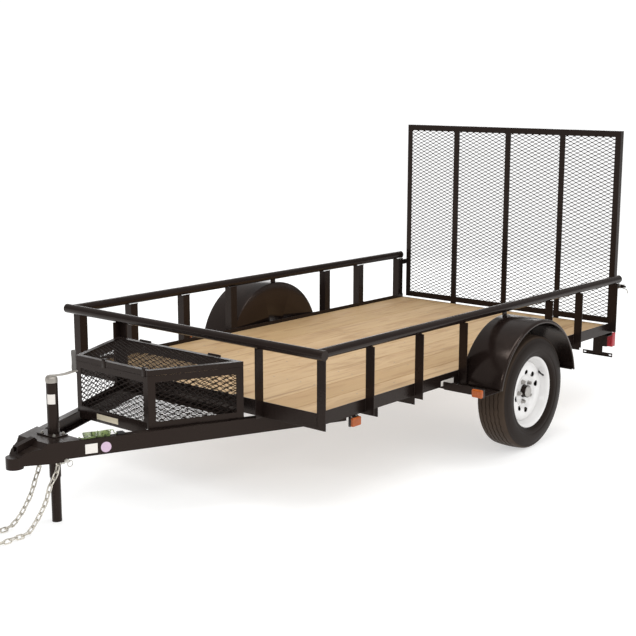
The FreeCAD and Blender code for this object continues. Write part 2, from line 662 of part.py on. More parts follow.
def lattice(outline, border, long_way, short_way):
    """Expanded metal: a plate with rows of diamonds, long way across, that stop short of its edges."""
    long_way, short_way = float(long_way), float(short_way)
    strand = float(s.mesh_strand)
    corners = [Vector(float(a), float(b), 0) for a, b in outline]
    edge = Part.makePolygon(corners + corners[:1])
    span = edge.BoundBox
    half_long = long_way / 2 - strand
    half_short = (short_way - strand) / 2
    columns = int(span.XLength / long_way) + 1
    rows = int(span.YLength / short_way) + 1
    wires = [edge]
    for i in range(-columns, columns + 1):
        for j in range(-rows, rows + 1):
            if (i + j) % 2:
                continue
            x = span.Center.x + i * long_way / 2
            y = span.Center.y + j * short_way / 2
            tips = [Vector(x - half_long, y, 0), Vector(x, y - half_short, 0), Vector(x + half_long, y, 0),
                    Vector(x, y + half_short, 0)]
            ring = part_inside(tips, corners, float(border))
            if len(ring) > 2 and ring_area(ring) > half_long * half_short / 4:
                wires.append(Part.makePolygon(ring + ring[:1]))
    face = Part.makeFace(wires, "Part::FaceMakerBullseye")
    return face.extrude(Vector(0, 0, float(s.mesh_sheet)))


def part_inside(ring, corners, border):
    """The part of a ring that is at least a border in from each edge of an outline that turns left."""
    for a, b in zip(corners, corners[1:] + corners[:1]):
        along = (b - a).normalize()
        depths = [along.x * (p.y - a.y) - along.y * (p.x - a.x) - border for p in ring]
        kept = []
        for i, point in enumerate(ring):
            here, before = depths[i], depths[i - 1]
            if here * before < 0:
                kept.append(ring[i - 1] + (point - ring[i - 1]) * (before / (before - here)))
            if here >= 0:
                kept.append(point)
        ring = kept
    return ring


def ring_area(ring):
    return sum(a.x * b.y - a.y * b.x for a, b in zip(ring, ring[1:] + ring[:1])) / 2


def stand_panel(shape, at, along):
    """Stand a flat panel up: its X runs along a level direction and its Y runs up."""
    across = Vector(*along).normalize()
    normal = across.cross(Vector(0, 0, 1))
    panel = feature(shape)
    turn = Rotation(across, Vector(0, 0, 1), normal, "ZYX")
    panel.Placement = Placement(Vector(*(float(c) for c in at)), turn)
    return panel


def lay_panel(shape, at):
    panel = feature(shape)
    panel.Placement = Placement(Vector(*(float(c) for c in at)), Rotation())
    return panel


def build_gate():
    """An angle iron frame with three uprights that end in hinge tubes, and mesh behind its face legs."""
    rear = gate_face - s.gate_bar
    wall = s.gate_wall
    whole = box((rear, -gate_half, s.gate_bottom), (gate_face, gate_half, gate_top))
    inside = box((rear, -gate_half + wall, s.gate_bottom + wall),
                 (gate_face - wall, gate_half - wall, gate_top - wall))
    window = box((gate_face - wall, -gate_half + s.gate_bar, s.gate_bottom + s.gate_bar),
                 (gate_face, gate_half - s.gate_bar, gate_top - s.gate_bar))
    bars = [cut(whole, inside, window)]
    bores = []
    for i in (-1, 0, 1):
        out = gate_bay * i
        bars.append(box((gate_face - wall, out - s.gate_bar / 2, gate_axis_z),
                        (gate_face, out + s.gate_bar / 2, gate_top)))
        bars.append(box((rear, out - wall / 2, gate_axis_z), (gate_face, out + wall / 2, gate_top)))
        start = (gate_axis_x, out - s.hinge_tube_length / 2, gate_axis_z)
        bars.append(rod(start, "y", s.hinge_tube_radius, s.hinge_tube_length))
        bores.append(rod(start, "y", s.hinge_pin_radius + s.hinge_play, s.hinge_tube_length))
    node("gate_frame", cut(fuse(*bars), *bores))
    panels = []
    low, high = s.gate_bottom + wall, gate_top - wall
    stops = [-gate_half + wall, -gate_bay - wall / 2, -gate_bay + wall / 2, -wall / 2, wall / 2,
             gate_bay - wall / 2, gate_bay + wall / 2, gate_half - wall]
    for left, right in zip(stops[::2], stops[1::2]):
        width = right - left
        outline = [(0, 0), (width, 0), (width, high - low), (0, high - low)]
        shape = lattice(outline, s.gate_bar - wall, s.gate_mesh_long, s.gate_mesh_short)
        panels.append(stand_panel(shape, (gate_face - wall - s.mesh_sheet, left, low), (0, 1, 0)))
    node("gate_mesh", group(*panels))


def build_gate_hinges():
    """Ears on the rear rail, each pair with its fixed pin."""
    sets = []
    gap = s.hinge_tube_length / 2 + s.hinge_end_play
    for i in (-1, 0, 1):
        out = gate_bay * i
        parts = []
        for start in (out + gap, out - gap - s.hinge_ear):
            parts.append(box((gate_axis_x - s.hinge_tube_radius, start, gate_axis_z - s.hinge_tube_radius),
                             (back, start + s.hinge_ear, gate_axis_z + s.hinge_tube_radius)))
        parts.append(rod((gate_axis_x, out - gap, gate_axis_z), "y", s.hinge_pin_radius, gap * 2))
        sets.append(fuse(*parts))
    node("gate_hinges", group(*sets))


def build_gate_latches():
    """A spring pin in a tube each side, on a strap that runs back from the last post."""
    level = s.keeper_height
    face = side + s.post_wall
    near = gate_half + s.keeper_pin_gap
    tube = rod((gate_axis_x, face, level), "y", s.keeper_radius, s.keeper_length)
    tip = rod((gate_axis_x, near, level), "y", s.keeper_pin_radius, face - near)
    tail = rod((gate_axis_x, face + s.keeper_length, level), "y", s.keeper_pin_radius, s.keeper_pin_past)
    half = s.keeper_strap / 2
    post_rear = front - last_post_at - s.post_leg
    strap = box((gate_axis_x - s.keeper_radius, face, level - half),
                (post_rear + s.keeper_strap_lap, face + s.post_wall, level + half))
    left = fuse(tube, tip, tail, strap)
    node("gate_latches", group(left, mirrored(left)))


def basket_plan(inset):
    """The basket's four plan corners, each side moved in by the same distance."""
    rear_half = s.basket_rear_half - inset * basket_sec - inset * basket_slope
    front_half = s.basket_front_half - inset * basket_sec + inset * basket_slope
    return [(inset, -rear_half), (s.basket_length - inset, -front_half),
            (s.basket_length - inset, front_half), (inset, rear_half)]


def basket_prism(inset, low, high):
    block = prism("XY_Plane", [basket_plan(inset)], high - low)
    return place(block, (basket_rear, 0, low))


def basket_lattice(outline, border):
    return lattice(outline, border, s.basket_mesh_long, s.basket_mesh_short)


def build_basket():
    """An angle iron basket on the tongue, mesh on its floor and its four sides."""
    bar, wall, sheet = s.basket_bar, s.basket_wall, s.mesh_sheet
    shell = basket_prism(wall * 0, basket_base, basket_top)
    inside = basket_prism(wall, basket_base + wall, basket_top)
    floor = basket_prism(bar, basket_base, basket_base + wall)
    low, high = basket_base + bar, basket_top - bar
    front_window = s.basket_front_half - bar
    fore = box((basket_rear + s.basket_length - wall, -front_window, low),
               (basket_rear + s.basket_length, front_window, high))
    rear_window = s.basket_rear_half - bar
    aft = box((basket_rear, -rear_window, low), (basket_rear + wall, rear_window, high))
    across = box((basket_rear + bar, -s.basket_rear_half, low),
                 (basket_rear + s.basket_length - bar, s.basket_rear_half, high))
    node("basket_frame", cut(shell, inside, floor, fore, aft, across))
    tall = basket_top - basket_base - wall - sheet - wall
    level = basket_base + wall + sheet
    border = s.basket_mesh_border
    plan = basket_plan(wall)
    panels = []
    ahead = basket_rear + s.basket_length - wall - sheet
    for half, at in ((plan[3][1], basket_rear + wall), (plan[2][1], ahead)):
        width = half * 2 - sheet * 4
        shape = basket_lattice([(0, 0), (width, 0), (width, tall), (0, tall)], border)
        panels.append(stand_panel(shape, (at, -width / 2, level), (0, 1, 0)))
    run = (s.basket_length - (wall + sheet) * 2) * basket_sec - sheet * 2
    start = sheet * 2
    shape = basket_lattice([(0, 0), (run, 0), (run, tall), (0, tall)], border)
    left = stand_panel(shape, (basket_rear + plan[3][0] + start, plan[3][1] - start * basket_slope, level),
                       (1, -basket_slope, 0))
    panels += [left, mirrored(left)]
    panels.append(lay_panel(basket_lattice(plan, border), (basket_rear, 0, basket_base + wall)))
    node("basket_mesh", group(*panels))


def build_lid():
    """A trapezoid lid of light angle iron, hinged along the rear rim."""
    bar, wall = s.lid_bar, s.basket_wall
    top = lid_base + bar
    shell = basket_prism(wall * 0, lid_base, top)
    inside = basket_prism(wall, lid_base, top - wall)
    window = basket_prism(bar, top - wall, top)
    pieces = [cut(shell, inside, window)]
    bores = []
    half = s.lid_knuckle / 2
    for out in (s.lid_hinge_out, -s.lid_hinge_out):
        start = (lid_axis_x, out - half, lid_axis_z)
        pieces.append(rod(start, "y", s.lid_hinge_radius, s.lid_knuckle))
        pieces.append(box((lid_axis_x, out - half, lid_axis_z - s.lid_hinge_radius),
                          (basket_rear, out + half, lid_axis_z)))
        bores.append(rod(start, "y", s.lid_pin_radius + s.hinge_play, s.lid_knuckle))
    node("lid_frame", cut(fuse(*pieces), *bores))
    shape = basket_lattice(basket_plan(wall), s.basket_mesh_border)
    node("lid_mesh", lay_panel(shape, (basket_rear, 0, top - wall - s.mesh_sheet)))


def build_lid_hinges():
    """Two ears and a pin on each side of the basket's rear rim."""
    sets = []
    gap = s.lid_knuckle / 2 + s.hinge_end_play
    for out in (s.lid_hinge_out, -s.lid_hinge_out):
        parts = []
        for start in (out + gap, out - gap - s.lid_ear):
            parts.append(box((lid_axis_x - s.lid_pin_radius, start, basket_top - s.lid_ear_height),
                             (basket_rear, start + s.lid_ear, lid_axis_z)))
            parts.append(rod((lid_axis_x, start, lid_axis_z), "y", s.lid_hinge_radius, s.lid_ear))
        parts.append(rod((lid_axis_x, out - gap, lid_axis_z), "y", s.lid_pin_radius, gap * 2))
        sets.append(fuse(*parts))
    node("lid_hinges", group(*sets))


def smooth_path(points, spacing):
    """Points a fixed distance apart along a curve through a few chosen points."""
    curve = Part.BSplineCurve()
    curve.interpolate([Vector(*p) for p in points])
    count = int(curve.length() // spacing)
    return [curve.value(curve.parameterAtDistance(spacing * i)) for i in range(count + 1)]


def chain_link(centre, along, flat):
    """One oval link with eight outer corners and a slot for its neighbours."""
    wire = float(s.chain_wire)
    half_long = float(s.chain_pitch) / 2 + wire + float(s.chain_play)
    half_wide = float(s.chain_width) / 2
    straight = half_long - half_wide
    outer = []
    for end in (1, -1):
        for along_share, out_share in ((0.3, -1), (1, -0.45), (1, 0.45), (0.3, 1)):
            outer.append(Vector(end * (straight + half_wide * along_share), end * half_wide * out_share, 0))
    slot = []
    for end, way in ((1, -1), (1, 1), (-1, 1), (-1, -1)):
        slot.append(Vector(end * (half_long - wire), way * (half_wide - wire), 0))
    wires = [Part.makePolygon(ring + ring[:1]) for ring in (outer, slot)]
    link = Part.makeFace(wires, "Part::FaceMakerBullseye").extrude(Vector(0, 0, wire))
    link.translate(Vector(0, 0, -wire / 2))
    side_way = flat - along * flat.dot(along)
    link.Placement = Placement(centre, Rotation(along, side_way, along.cross(side_way), "XYZ"))
    return link


def build_chains():
    """Two safety chains that hang from a bolt in the coupler and lie forward on the ground."""
    pitch = float(s.chain_pitch)
    floor = (float(s.chain_width) + float(s.chain_wire)) * math.sqrt(0.5) / 2 + float(s.chain_rest)
    inner_half = pitch / 2 + float(s.chain_play)
    hang = float(chain_bolt_z + s.chain_bolt_radius + s.chain_rest) - pitch / 2 - inner_half
    drop, reach = float(s.chain_anchor_at), float(s.chain_reach)
    ahead = float(front)
    routes = {
        "chain_left": [(drop, 80, hang), (drop + 18, 82, 243), (drop + 50, 84, 203), (924, 85, 147),
                       (956, 84, 94), (992, 80, 46), (1030, 74, floor), (1073, 71, floor),
                       (1149, 76, floor), (1230, 58, floor), (1290, 10, floor), (reach - 12, -70, floor),
                       (reach - 16, -112, floor)],
        "chain_right": [(drop, -50, hang), (drop + 8, -50, 245), (drop + 31, -50, 193), (905, -50, 140),
                        (928, -51, 104), (958, -53, 62), (990, -55, 30), (1024, -56, floor),
                        (1076, -52, floor), (1130, -58, floor), (1185, -90, floor), (1208, -160, floor),
                        (1165, -225, floor), (1090, -245, floor)],
    }
    for name, route in routes.items():
        points = smooth_path([(x + ahead, y, z) for x, y, z in route], pitch)
        points = [Vector(p.x, p.y, max(p.z, floor)) for p in points]
        points.insert(0, points[0] + Vector(0, 0, pitch))
        links = []
        for i, (a, b) in enumerate(zip(points, points[1:])):
            along = (b - a).normalize()
            if b.z > floor + 1:
                lean = Vector(0, 1, 0) if i % 2 else Vector(1, 0, 0)
            else:
                lean = Vector(0, 0, 1).cross(along) + Vector(0, 0, 1 if i % 2 else -1)
            links.append(feature(chain_link((a + b) / 2, along, lean)))
        node(name, group(*links))


def build_harness():
    """A tied hank of flat lead on the left tongue channel, with its connector."""
    out = tongue_out(s.hank_at) - s.hank_inset
    level = end_rail_base + s.seat_gap
    turn = Rotation(Vector(0, 0, 1), 180 - tongue_angle)
    for name, ahead, size in (
            ("harness_hank", s.hank_length, (s.hank_length, s.hank_width, s.hank_height)),
            ("harness_plug", -s.plug_gap, (s.plug_length, s.plug_width, s.plug_height))):
        block = box((0, 0, 0), size)
        place(block, (front + s.hank_at + ahead, out - ahead * tongue_slope + s.hank_width / 2, level), turn)
        node(name, block)


for build in (build_side_rail, build_end_rails, build_crossmembers, build_planks, build_posts,
              build_top_rail, build_tongue, build_coupler, build_latch, build_jack, build_axle,
              build_springs, build_wheels, build_fenders, build_fender_brackets, build_tail_lamps,
              build_marker_lamps, build_plate_bracket, build_gate, build_gate_hinges, build_gate_latches,
              build_basket, build_lid, build_lid_hinges, build_chains, build_harness):
    build()

doc.recompute()
faults = [thing.Label for thing in doc.Objects if {"Invalid", "Error"} & set(thing.State)]
faults += [thing.Label for thing in nodes if thing.Shape.isNull() or not thing.Shape.isValid()]
if faults:
    raise RuntimeError("failed objects: " + ", ".join(faults))
os.makedirs("parts", exist_ok=True)
for thing in nodes:
    thing.Shape.exportStep(f"parts/{thing.Label}.step")
    print(f"{thing.Label}: {len(thing.Shape.Solids)} solids")
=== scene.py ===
import math
import random

import bmesh
import bpy
import numpy
from mathutils import Matrix, Vector


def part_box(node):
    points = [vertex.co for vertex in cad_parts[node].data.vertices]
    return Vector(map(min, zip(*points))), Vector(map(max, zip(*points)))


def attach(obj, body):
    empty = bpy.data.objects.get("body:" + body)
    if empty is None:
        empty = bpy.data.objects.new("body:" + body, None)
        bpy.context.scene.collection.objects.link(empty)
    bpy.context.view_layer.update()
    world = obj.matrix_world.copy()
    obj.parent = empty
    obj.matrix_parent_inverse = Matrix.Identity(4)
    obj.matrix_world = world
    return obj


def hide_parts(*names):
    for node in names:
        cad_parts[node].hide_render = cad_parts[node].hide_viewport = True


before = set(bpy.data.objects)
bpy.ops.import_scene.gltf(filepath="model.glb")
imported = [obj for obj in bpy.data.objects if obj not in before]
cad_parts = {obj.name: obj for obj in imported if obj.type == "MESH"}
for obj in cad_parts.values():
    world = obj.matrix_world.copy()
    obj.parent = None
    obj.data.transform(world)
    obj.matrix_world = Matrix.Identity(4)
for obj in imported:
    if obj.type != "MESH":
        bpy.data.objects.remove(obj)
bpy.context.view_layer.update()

# The studio is a pale glowing floor under a white dome that is dimmer in the
# paint's reflections, with a softbox overhead and strip lights for the gloss.
# The camera stands off the left front corner at eye level, with a long lens.
def mesh_from(bm, name):
    """Turn a finished bmesh into a mesh."""
    mesh = bpy.data.meshes.new(name)
    bm.to_mesh(mesh)
    bm.free()
    return mesh


def object_from(name, data):
    """An object in the scene that shows some data."""
    made = bpy.data.objects.new(name, data)
    bpy.context.scene.collection.objects.link(made)
    return made


floor_size = 60
floor_bm = bmesh.new()
bmesh.ops.create_grid(floor_bm, x_segments=1, y_segments=1, size=floor_size / 2)
floor = object_from("studio_floor", mesh_from(floor_bm, "studio_floor"))
floor_paint = bpy.data.materials.new("floor_paint")
floor_paint.use_nodes = True
floor_shader = floor_paint.node_tree.nodes["Principled BSDF"].inputs
floor_shader["Base Color"].default_value = (0.52, 0.52, 0.515, 1)
floor_shader["Emission Color"].default_value = (1, 1, 1, 1)
floor_shader["Emission Strength"].default_value = 0.52
floor_shader["Roughness"].default_value = 0.7
floor.data.materials.append(floor_paint)

studio = bpy.data.worlds.new("studio")
studio.use_nodes = True
dome = studio.node_tree.nodes["Background"].inputs
dome["Color"].default_value = (1, 1, 1, 1)
open_light, glossy_light = 1.08, 0.42
ray = studio.node_tree.nodes.new("ShaderNodeLightPath")
dimmer = studio.node_tree.nodes.new("ShaderNodeMapRange")
dimmer.inputs["To Min"].default_value = open_light
dimmer.inputs["To Max"].default_value = glossy_light
studio.node_tree.links.new(ray.outputs["Is Glossy Ray"], dimmer.inputs["Value"])
studio.node_tree.links.new(dimmer.outputs["Result"], dome["Strength"])
bpy.context.scene.world = studio
bpy.context.scene.view_settings.view_transform = "Standard"


def softbox(name, at, aim, width, height, power):
    """An area lamp that points at a spot."""
    lamp = bpy.data.lights.new(name, "AREA")
    lamp.shape = "RECTANGLE"
    lamp.size = width
    lamp.size_y = height
    lamp.energy = power
    holder = object_from(name, lamp)
    holder.location = at
    holder.rotation_euler = (Vector(aim) - Vector(at)).to_track_quat("-Z", "Y").to_euler()


softbox("overhead", (0.4, 0.6, 4.6), (-0.2, 0, 0.4), 4.0, 1.2, 90)
softbox("strip_front", (5.0, 2.4, 3.4), (0, 0, 0.6), 2.8, 0.35, 55)
softbox("strip_side", (-1.6, 6.0, 3.2), (-0.6, 0.6, 0.4), 4.0, 0.3, 60)
softbox("far_side", (-5.6, -4.6, 2.0), (0, 0, 0.6), 8.0, 2.0, 80)

eye = Vector((4.776, 4.247, 1.905))
aim = Vector((-0.269, 0.253, 0.684))
eye_roll = math.radians(0.52)
camera_data = bpy.data.cameras.new("camera")
camera_data.sensor_width = 36
camera_data.lens = 68.2
camera_data.shift_x = -0.0734
camera = object_from("camera", camera_data)
camera.location = eye
camera.rotation_mode = "QUATERNION"
eye_turn = (aim - eye).to_track_quat("-Z", "Y")
camera.rotation_quaternion = eye_turn @ Matrix.Rotation(eye_roll, 3, "Z").to_quaternion()
bpy.context.scene.camera = camera


# The bed frame, posts, tongue and brackets are hot rolled angle and channel,
# welded up and sprayed gloss black in one coat. The mill's edges are slightly
# round and the paint has a faint orange peel and some dust on it.
class Signal:
    """A socket that a finish is worked out from. Arithmetic on it adds Math nodes."""

    def __init__(self, finish, socket):
        self.finish = finish
        self.socket = socket

    def math(self, operation, first, second):
        return self.finish.node("Math", {"operation": operation}, {0: first, 1: second})

    def __add__(self, other):
        return self.math("ADD", self, other)

    def __sub__(self, other):
        return self.math("SUBTRACT", self, other)

    def __mul__(self, other):
        return self.math("MULTIPLY", self, other)

    def __rsub__(self, other):
        return self.math("SUBTRACT", other, self)


class Finish:
    """One material. Fixed sockets are named in the call, with _ for a space."""

    def __init__(self, name, **fixed):
        self.material = bpy.data.materials.new(name)
        self.material.use_nodes = True
        self.tree = self.material.node_tree
        self.shader = self.tree.nodes["Principled BSDF"]
        self.feed(**fixed)
        self.place = self.node("TexCoord", output="Object")

    def node(self, kind, settings=None, inputs=None, output=0):
        made = self.tree.nodes.new("ShaderNode" + kind)
        for name, value in (settings or {}).items():
            setattr(made, name, value)
        for name, value in (inputs or {}).items():
            self.fill(made.inputs[name], value)
        return Signal(self, made.outputs[output])

    def fill(self, socket, value):
        if isinstance(value, Signal):
            self.tree.links.new(value.socket, socket)
        elif socket.type == "RGBA":
            socket.default_value = (*value, 1)
        else:
            socket.default_value = value

    def feed(self, **sockets):
        for name, value in sockets.items():
            self.fill(self.shader.inputs[name.replace("_", " ")], value)

    def noise(self, scale, detail=2.0, roughness=0.5, at=None):
        """Cloudy noise from 0 to 1, by the number of blotches in a metre."""
        return self.node("TexNoise", {}, {"Vector": at or self.place, "Scale": scale, "Detail": detail,
                                          "Roughness": roughness}, "Fac")

    def between(self, signal, low, high):
        """0 below low and 1 above high, with a soft step."""
        return self.node("MapRange", {"interpolation_type": "SMOOTHSTEP"},
                         {"Value": signal, "From Min": low, "From Max": high}, "Result")

    def blend(self, share, first, second):
        """A colour part of the way from the first to the second."""
        return self.node("Mix", {"data_type": "RGBA"}, {"Factor": share, "A": first, "B": second}, 2)

    def stretch(self, scale, at=None):
        """The place, scaled apart along its axes."""
        return self.node("VectorMath", {"operation": "MULTIPLY"}, {0: at or self.place, 1: scale})

    def bump(self, height, distance, strength=1.0):
        return self.node("Bump", {}, {"Height": height, "Distance": distance, "Strength": strength})


warm_gloss, warm_black, dust_brown = (1.0, 0.80, 0.69), (0.0098, 0.0064, 0.0055), (0.085, 0.065, 0.052)


def black_paint(name, rough, shine=0.22):
    """Sprayed black on steel, with dust on what faces up."""
    paint = Finish(name, Specular_IOR_Level=shine, Specular_Tint=warm_gloss)
    peel = paint.noise(420, 1)
    cloud = paint.noise(5, 4, 0.6)
    facing = paint.node("SeparateXYZ", {}, {0: paint.node("TexCoord", output="Normal")}, "Z")
    dust = paint.between(facing, 0.5, 1.0) * paint.between(cloud, 0.35, 0.75)
    speck = paint.between(paint.noise(260, 3, 0.7), 0.66, 0.74)
    paint.feed(Base_Color=paint.blend(dust * 0.18 + speck * 0.06, warm_black, dust_brown),
               Roughness=cloud * 0.14 + dust * 0.10 + (rough - 0.07),
               Normal=paint.bump(peel, 0.0006, 0.3))
    return paint


def coat(finish, ease, *names):
    """Give frame pieces that keep their own mesh a finish and rounded edges."""
    for name in names:
        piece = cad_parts[name]
        piece.data.materials.clear()
        piece.data.materials.append(finish.material)
        if ease:
            weld = piece.modifiers.new("weld", "WELD")
            weld.merge_threshold = 0.00001
            bevel = piece.modifiers.new("ease", "BEVEL")
            bevel.width = ease
            bevel.segments = 2
            bevel.limit_method = "ANGLE"
            bevel.angle_limit = math.radians(35)
            shade = piece.modifiers.new("shade", "WEIGHTED_NORMAL")
            shade.keep_sharp = True


frame_paint = black_paint("frame_paint", 0.26)
mill_edge = 0.0012
coat(frame_paint, mill_edge, "side_rail_left", "side_rail_right", "front_rail", "rear_rail", "crossmembers",
     "posts_left", "posts_right", "posts_front", "tongue_left", "tongue_right", "fender_brackets",
     "tail_lamp_plates", "marker_plates", "plate_bracket", "spring_hangers")


# Every post is welded on the outside of the rail and under the pipe, and the
# tongue is welded under the front rail. The beads are hand laid and painted over.
def piece_from(bm, name, finish, slot, *stands_for, body="trailer", smooth=40):
    """Make a modelled piece of the trailer out of a finished bmesh."""
    mesh = mesh_from(bm, name)
    if smooth:
        mesh.shade_smooth()
        mesh.set_sharp_from_angle(angle=math.radians(smooth))
    mesh.materials.append(finish.material)
    piece = object_from(name, mesh)
    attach(piece, body)
    if stands_for:
        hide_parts(*stands_for)
    return piece


def solids_of(name):
    """The corner points of each separate solid of a frame piece."""
    bm = bmesh.new()
    bm.from_mesh(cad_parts[name].data)
    bmesh.ops.remove_doubles(bm, verts=bm.verts, dist=0.00001)
    seen, solids = set(), []
    for first in bm.verts:
        if first in seen:
            continue
        seen.add(first)
        reached = [first]
        for vert in reached:
            for edge in vert.link_edges:
                other = edge.other_vert(vert)
                if other not in seen:
                    seen.add(other)
                    reached.append(other)
        solids.append([vert.co.copy() for vert in reached])
    bm.free()
    return solids


def ends_of(points):
    """The lowest and highest corner of some points."""
    return (Vector([min(p[i] for p in points) for i in range(3)]),
            Vector([max(p[i] for p in points) for i in range(3)]))


bead = 0.0055


def weld_bead(bm, start, end):
    """A run of small overlapping drops, as an arc weld leaves it."""
    start, end = Vector(start), Vector(end)
    count = math.ceil((end - start).length / (bead * 0.6))
    for i in range(count + 1):
        radius = bead * chance.uniform(0.42, 0.58)
        drop = bmesh.ops.create_icosphere(bm, subdivisions=1, radius=radius)["verts"]
        bmesh.ops.translate(bm, vec=start.lerp(end, i / count), verts=drop)


chance = random.Random(7)
bead_bm = bmesh.new()
pipe_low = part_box("top_rail")[0].z
for name in ("posts_left", "posts_right", "posts_front"):
    rail_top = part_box("front_rail" if name == "posts_front" else "side_rail_left")[1].z
    for low, high in map(ends_of, solids_of(name)):
        face = low.y if name == "posts_left" else high.y
        if name == "posts_front":
            start, end, corners = (low.x, low.y), (low.x, high.y), ()
        else:
            start, end, corners = (low.x, face), (high.x, face), (low.x, high.x)
        for level in (min(high.z, pipe_low) + 0.001, rail_top):
            weld_bead(bead_bm, (*start, level), (*end, level))
        for x in corners:
            weld_bead(bead_bm, (x, face, low.z + 0.012), (x, face, rail_top))
tongue_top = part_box("tongue_left")[1].z
tongue_lean, tongue_tail, tongue_tail_out = 0.4216, 0.798, 0.487
basket_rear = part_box("basket_frame")[0].x
for side in (1, -1):
    for x in (basket_rear + 0.03, basket_rear + 0.20):
        y = tongue_tail_out - (x - tongue_tail) * tongue_lean
        weld_bead(bead_bm, (x, side * (y - 0.004), tongue_top), (x + 0.04, side * (y - 0.021), tongue_top))
piece_from(bead_bm, "weld_beads", frame_paint, "black_steel", smooth=60)


# The deck is nine treated pine boards, planed with eased edges, laid front to
# back on the crossmembers and screwed down, each board of its own tone.
def block(bm, low, high, ease, matrix=None, segments=2):
    """A block between two corners, with eased edges."""
    low, high = Vector(low), Vector(high)
    verts = bmesh.ops.create_cube(bm, size=1)["verts"]
    bmesh.ops.scale(bm, vec=high - low, verts=verts)
    bmesh.ops.translate(bm, vec=(low + high) / 2, verts=verts)
    if matrix:
        bmesh.ops.transform(bm, matrix=matrix, verts=verts)
    edges = list({edge for vert in verts for edge in vert.link_edges})
    bmesh.ops.bevel(bm, geom=edges, offset=ease, offset_type="OFFSET", segments=segments, profile=0.5,
                    material=-1, affect="EDGES")


def rod_between(bm, start, end, radius, sides=16, tip=None):
    """A round bar between two points, or a hexagonal one with six sides."""
    start, end = Vector(start), Vector(end)
    tip = radius if tip is None else tip
    made = bmesh.ops.create_cone(bm, cap_ends=True, segments=sides, radius1=radius, radius2=tip,
                                 depth=(end - start).length)["verts"]
    turn = Vector((0, 0, 1)).rotation_difference(end - start).to_matrix().to_4x4()
    bmesh.ops.transform(bm, matrix=Matrix.Translation((start + end) / 2) @ turn, verts=made)
    return made


def mottled(name, blotches, dark, pale, rough, spread=0.2, detail=2, crumble=0.5, **fixed):
    """A finish of two tones in soft blotches, rougher where it is paler."""
    made = Finish(name, **fixed)
    cloud = made.noise(blotches, detail, crumble)
    made.feed(Base_Color=made.blend(cloud, dark, pale), Roughness=cloud * spread + rough)
    return made


board_count = 9
board_gap = 0.002
board_ease = 0.003
deck_low, deck_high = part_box("deck_planks")
board_pitch = (deck_high.y - deck_low.y + board_gap) / board_count
deck_bm = bmesh.new()
board_mark = deck_bm.faces.layers.float.new("board")
for i in range(board_count):
    start = deck_low.y + board_pitch * i
    before = set(deck_bm.faces)
    block(deck_bm, (deck_low.x, start, deck_low.z),
          (deck_high.x, start + board_pitch - board_gap, deck_high.z), board_ease)
    mark = i + chance.random() * 0.5
    for face in deck_bm.faces:
        if face not in before:
            face[board_mark] = mark

pine = Finish("treated_pine", Specular_IOR_Level=0.25)
number = pine.node("Attribute", {"attribute_name": "board"}, {}, "Fac")
apart = pine.node("CombineXYZ", {}, {"X": number * 3.7, "Y": number * 1.3, "Z": number * 2.1})
along = pine.node("VectorMath", {"operation": "ADD"}, {0: pine.place, 1: apart})
wander = pine.noise(1.6, 3, 0.5, pine.stretch((0.6, 3.0, 3.0), along))
drift = pine.node("CombineXYZ", {}, {"Y": wander * 0.30, "Z": wander * 0.18})
warped = pine.node("VectorMath", {"operation": "ADD"}, {0: pine.stretch((0.10, 1, 1), along), 1: drift})
figure = pine.noise(26, 5, 0.62, warped)
fibre = pine.noise(60, 4, 0.65, pine.stretch((0.05, 3, 3), along))
blotch = pine.noise(2.4, 4, 0.6, pine.stretch((0.6, 1.8, 1.8), along))
streak = pine.noise(9, 4, 0.55, pine.stretch((0.11, 2.6, 2.6), along))
knot_cells = {"Vector": pine.stretch((1.3, 5.0, 1.0), along), "Scale": 1.0}
knots = pine.node("TexVoronoi", {"feature": "F1"}, knot_cells, "Distance")
knot_pick = pine.node("TexVoronoi", {"feature": "F1"}, knot_cells, "Color")
knot_here = pine.between(pine.node("SeparateColor", {}, {0: knot_pick}, "Red"), 0.42, 0.44)
knot = (1 - pine.between(knots, 0.035, 0.085)) * knot_here
halo = (1 - pine.between(knots, 0.06, 0.34)) * knot_here * pine.between(streak, 0.3, 0.6)
own_tone = pine.node("TexWhiteNoise", {"noise_dimensions": "1D"}, {"W": number}, "Value")
wood = pine.blend(own_tone, (0.40, 0.27, 0.135), (0.47, 0.33, 0.185))
for share, colour in ((pine.between(blotch, 0.35, 0.75) * 0.45, (0.34, 0.205, 0.095)),
                      (pine.between(figure, 0.50, 0.66) * 0.42, (0.24, 0.13, 0.052)),
                      (pine.between(streak, 0.56, 0.72) * 0.55, (0.19, 0.105, 0.045)),
                      (halo * 0.6, (0.19, 0.10, 0.042)), (knot * 0.85, (0.085, 0.042, 0.02)),
                      (pine.between(fibre, 0.35, 0.75) * 0.25, (0.26, 0.155, 0.075))):
    wood = pine.blend(share, wood, colour)
pine.feed(Base_Color=wood, Roughness=fibre * 0.2 + 0.58,
          Normal=pine.bump(fibre * 0.6 + figure * 0.5, 0.0006, 0.5))
piece_from(deck_bm, "deck_boards", pine, "plank", "deck_planks", smooth=None)

screw_bm = bmesh.new()
screw_radius, screw_inset = 0.0045, 0.025
carriers = [ends_of(points) for points in solids_of("crossmembers")]
carriers += [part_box("front_rail"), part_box("rear_rail")]
for low, high in carriers:
    for i in range(board_count):
        for share in (0.25, 0.75):
            y = deck_low.y + board_pitch * (i + share)
            x = min(max((low.x + high.x) / 2, deck_low.x + screw_inset), deck_high.x - screw_inset)
            top = deck_high.z + 0.0003
            rod_between(screw_bm, (x, y, top - 0.0033), (x, y, top), screw_radius, 10)
screw_steel = mottled("screw_steel", 40, (0.16, 0.14, 0.11), (0.30, 0.28, 0.24), 0.4, Metallic=0.8)
piece_from(screw_bm, "deck_screws", screw_steel, "zinc", smooth=None)


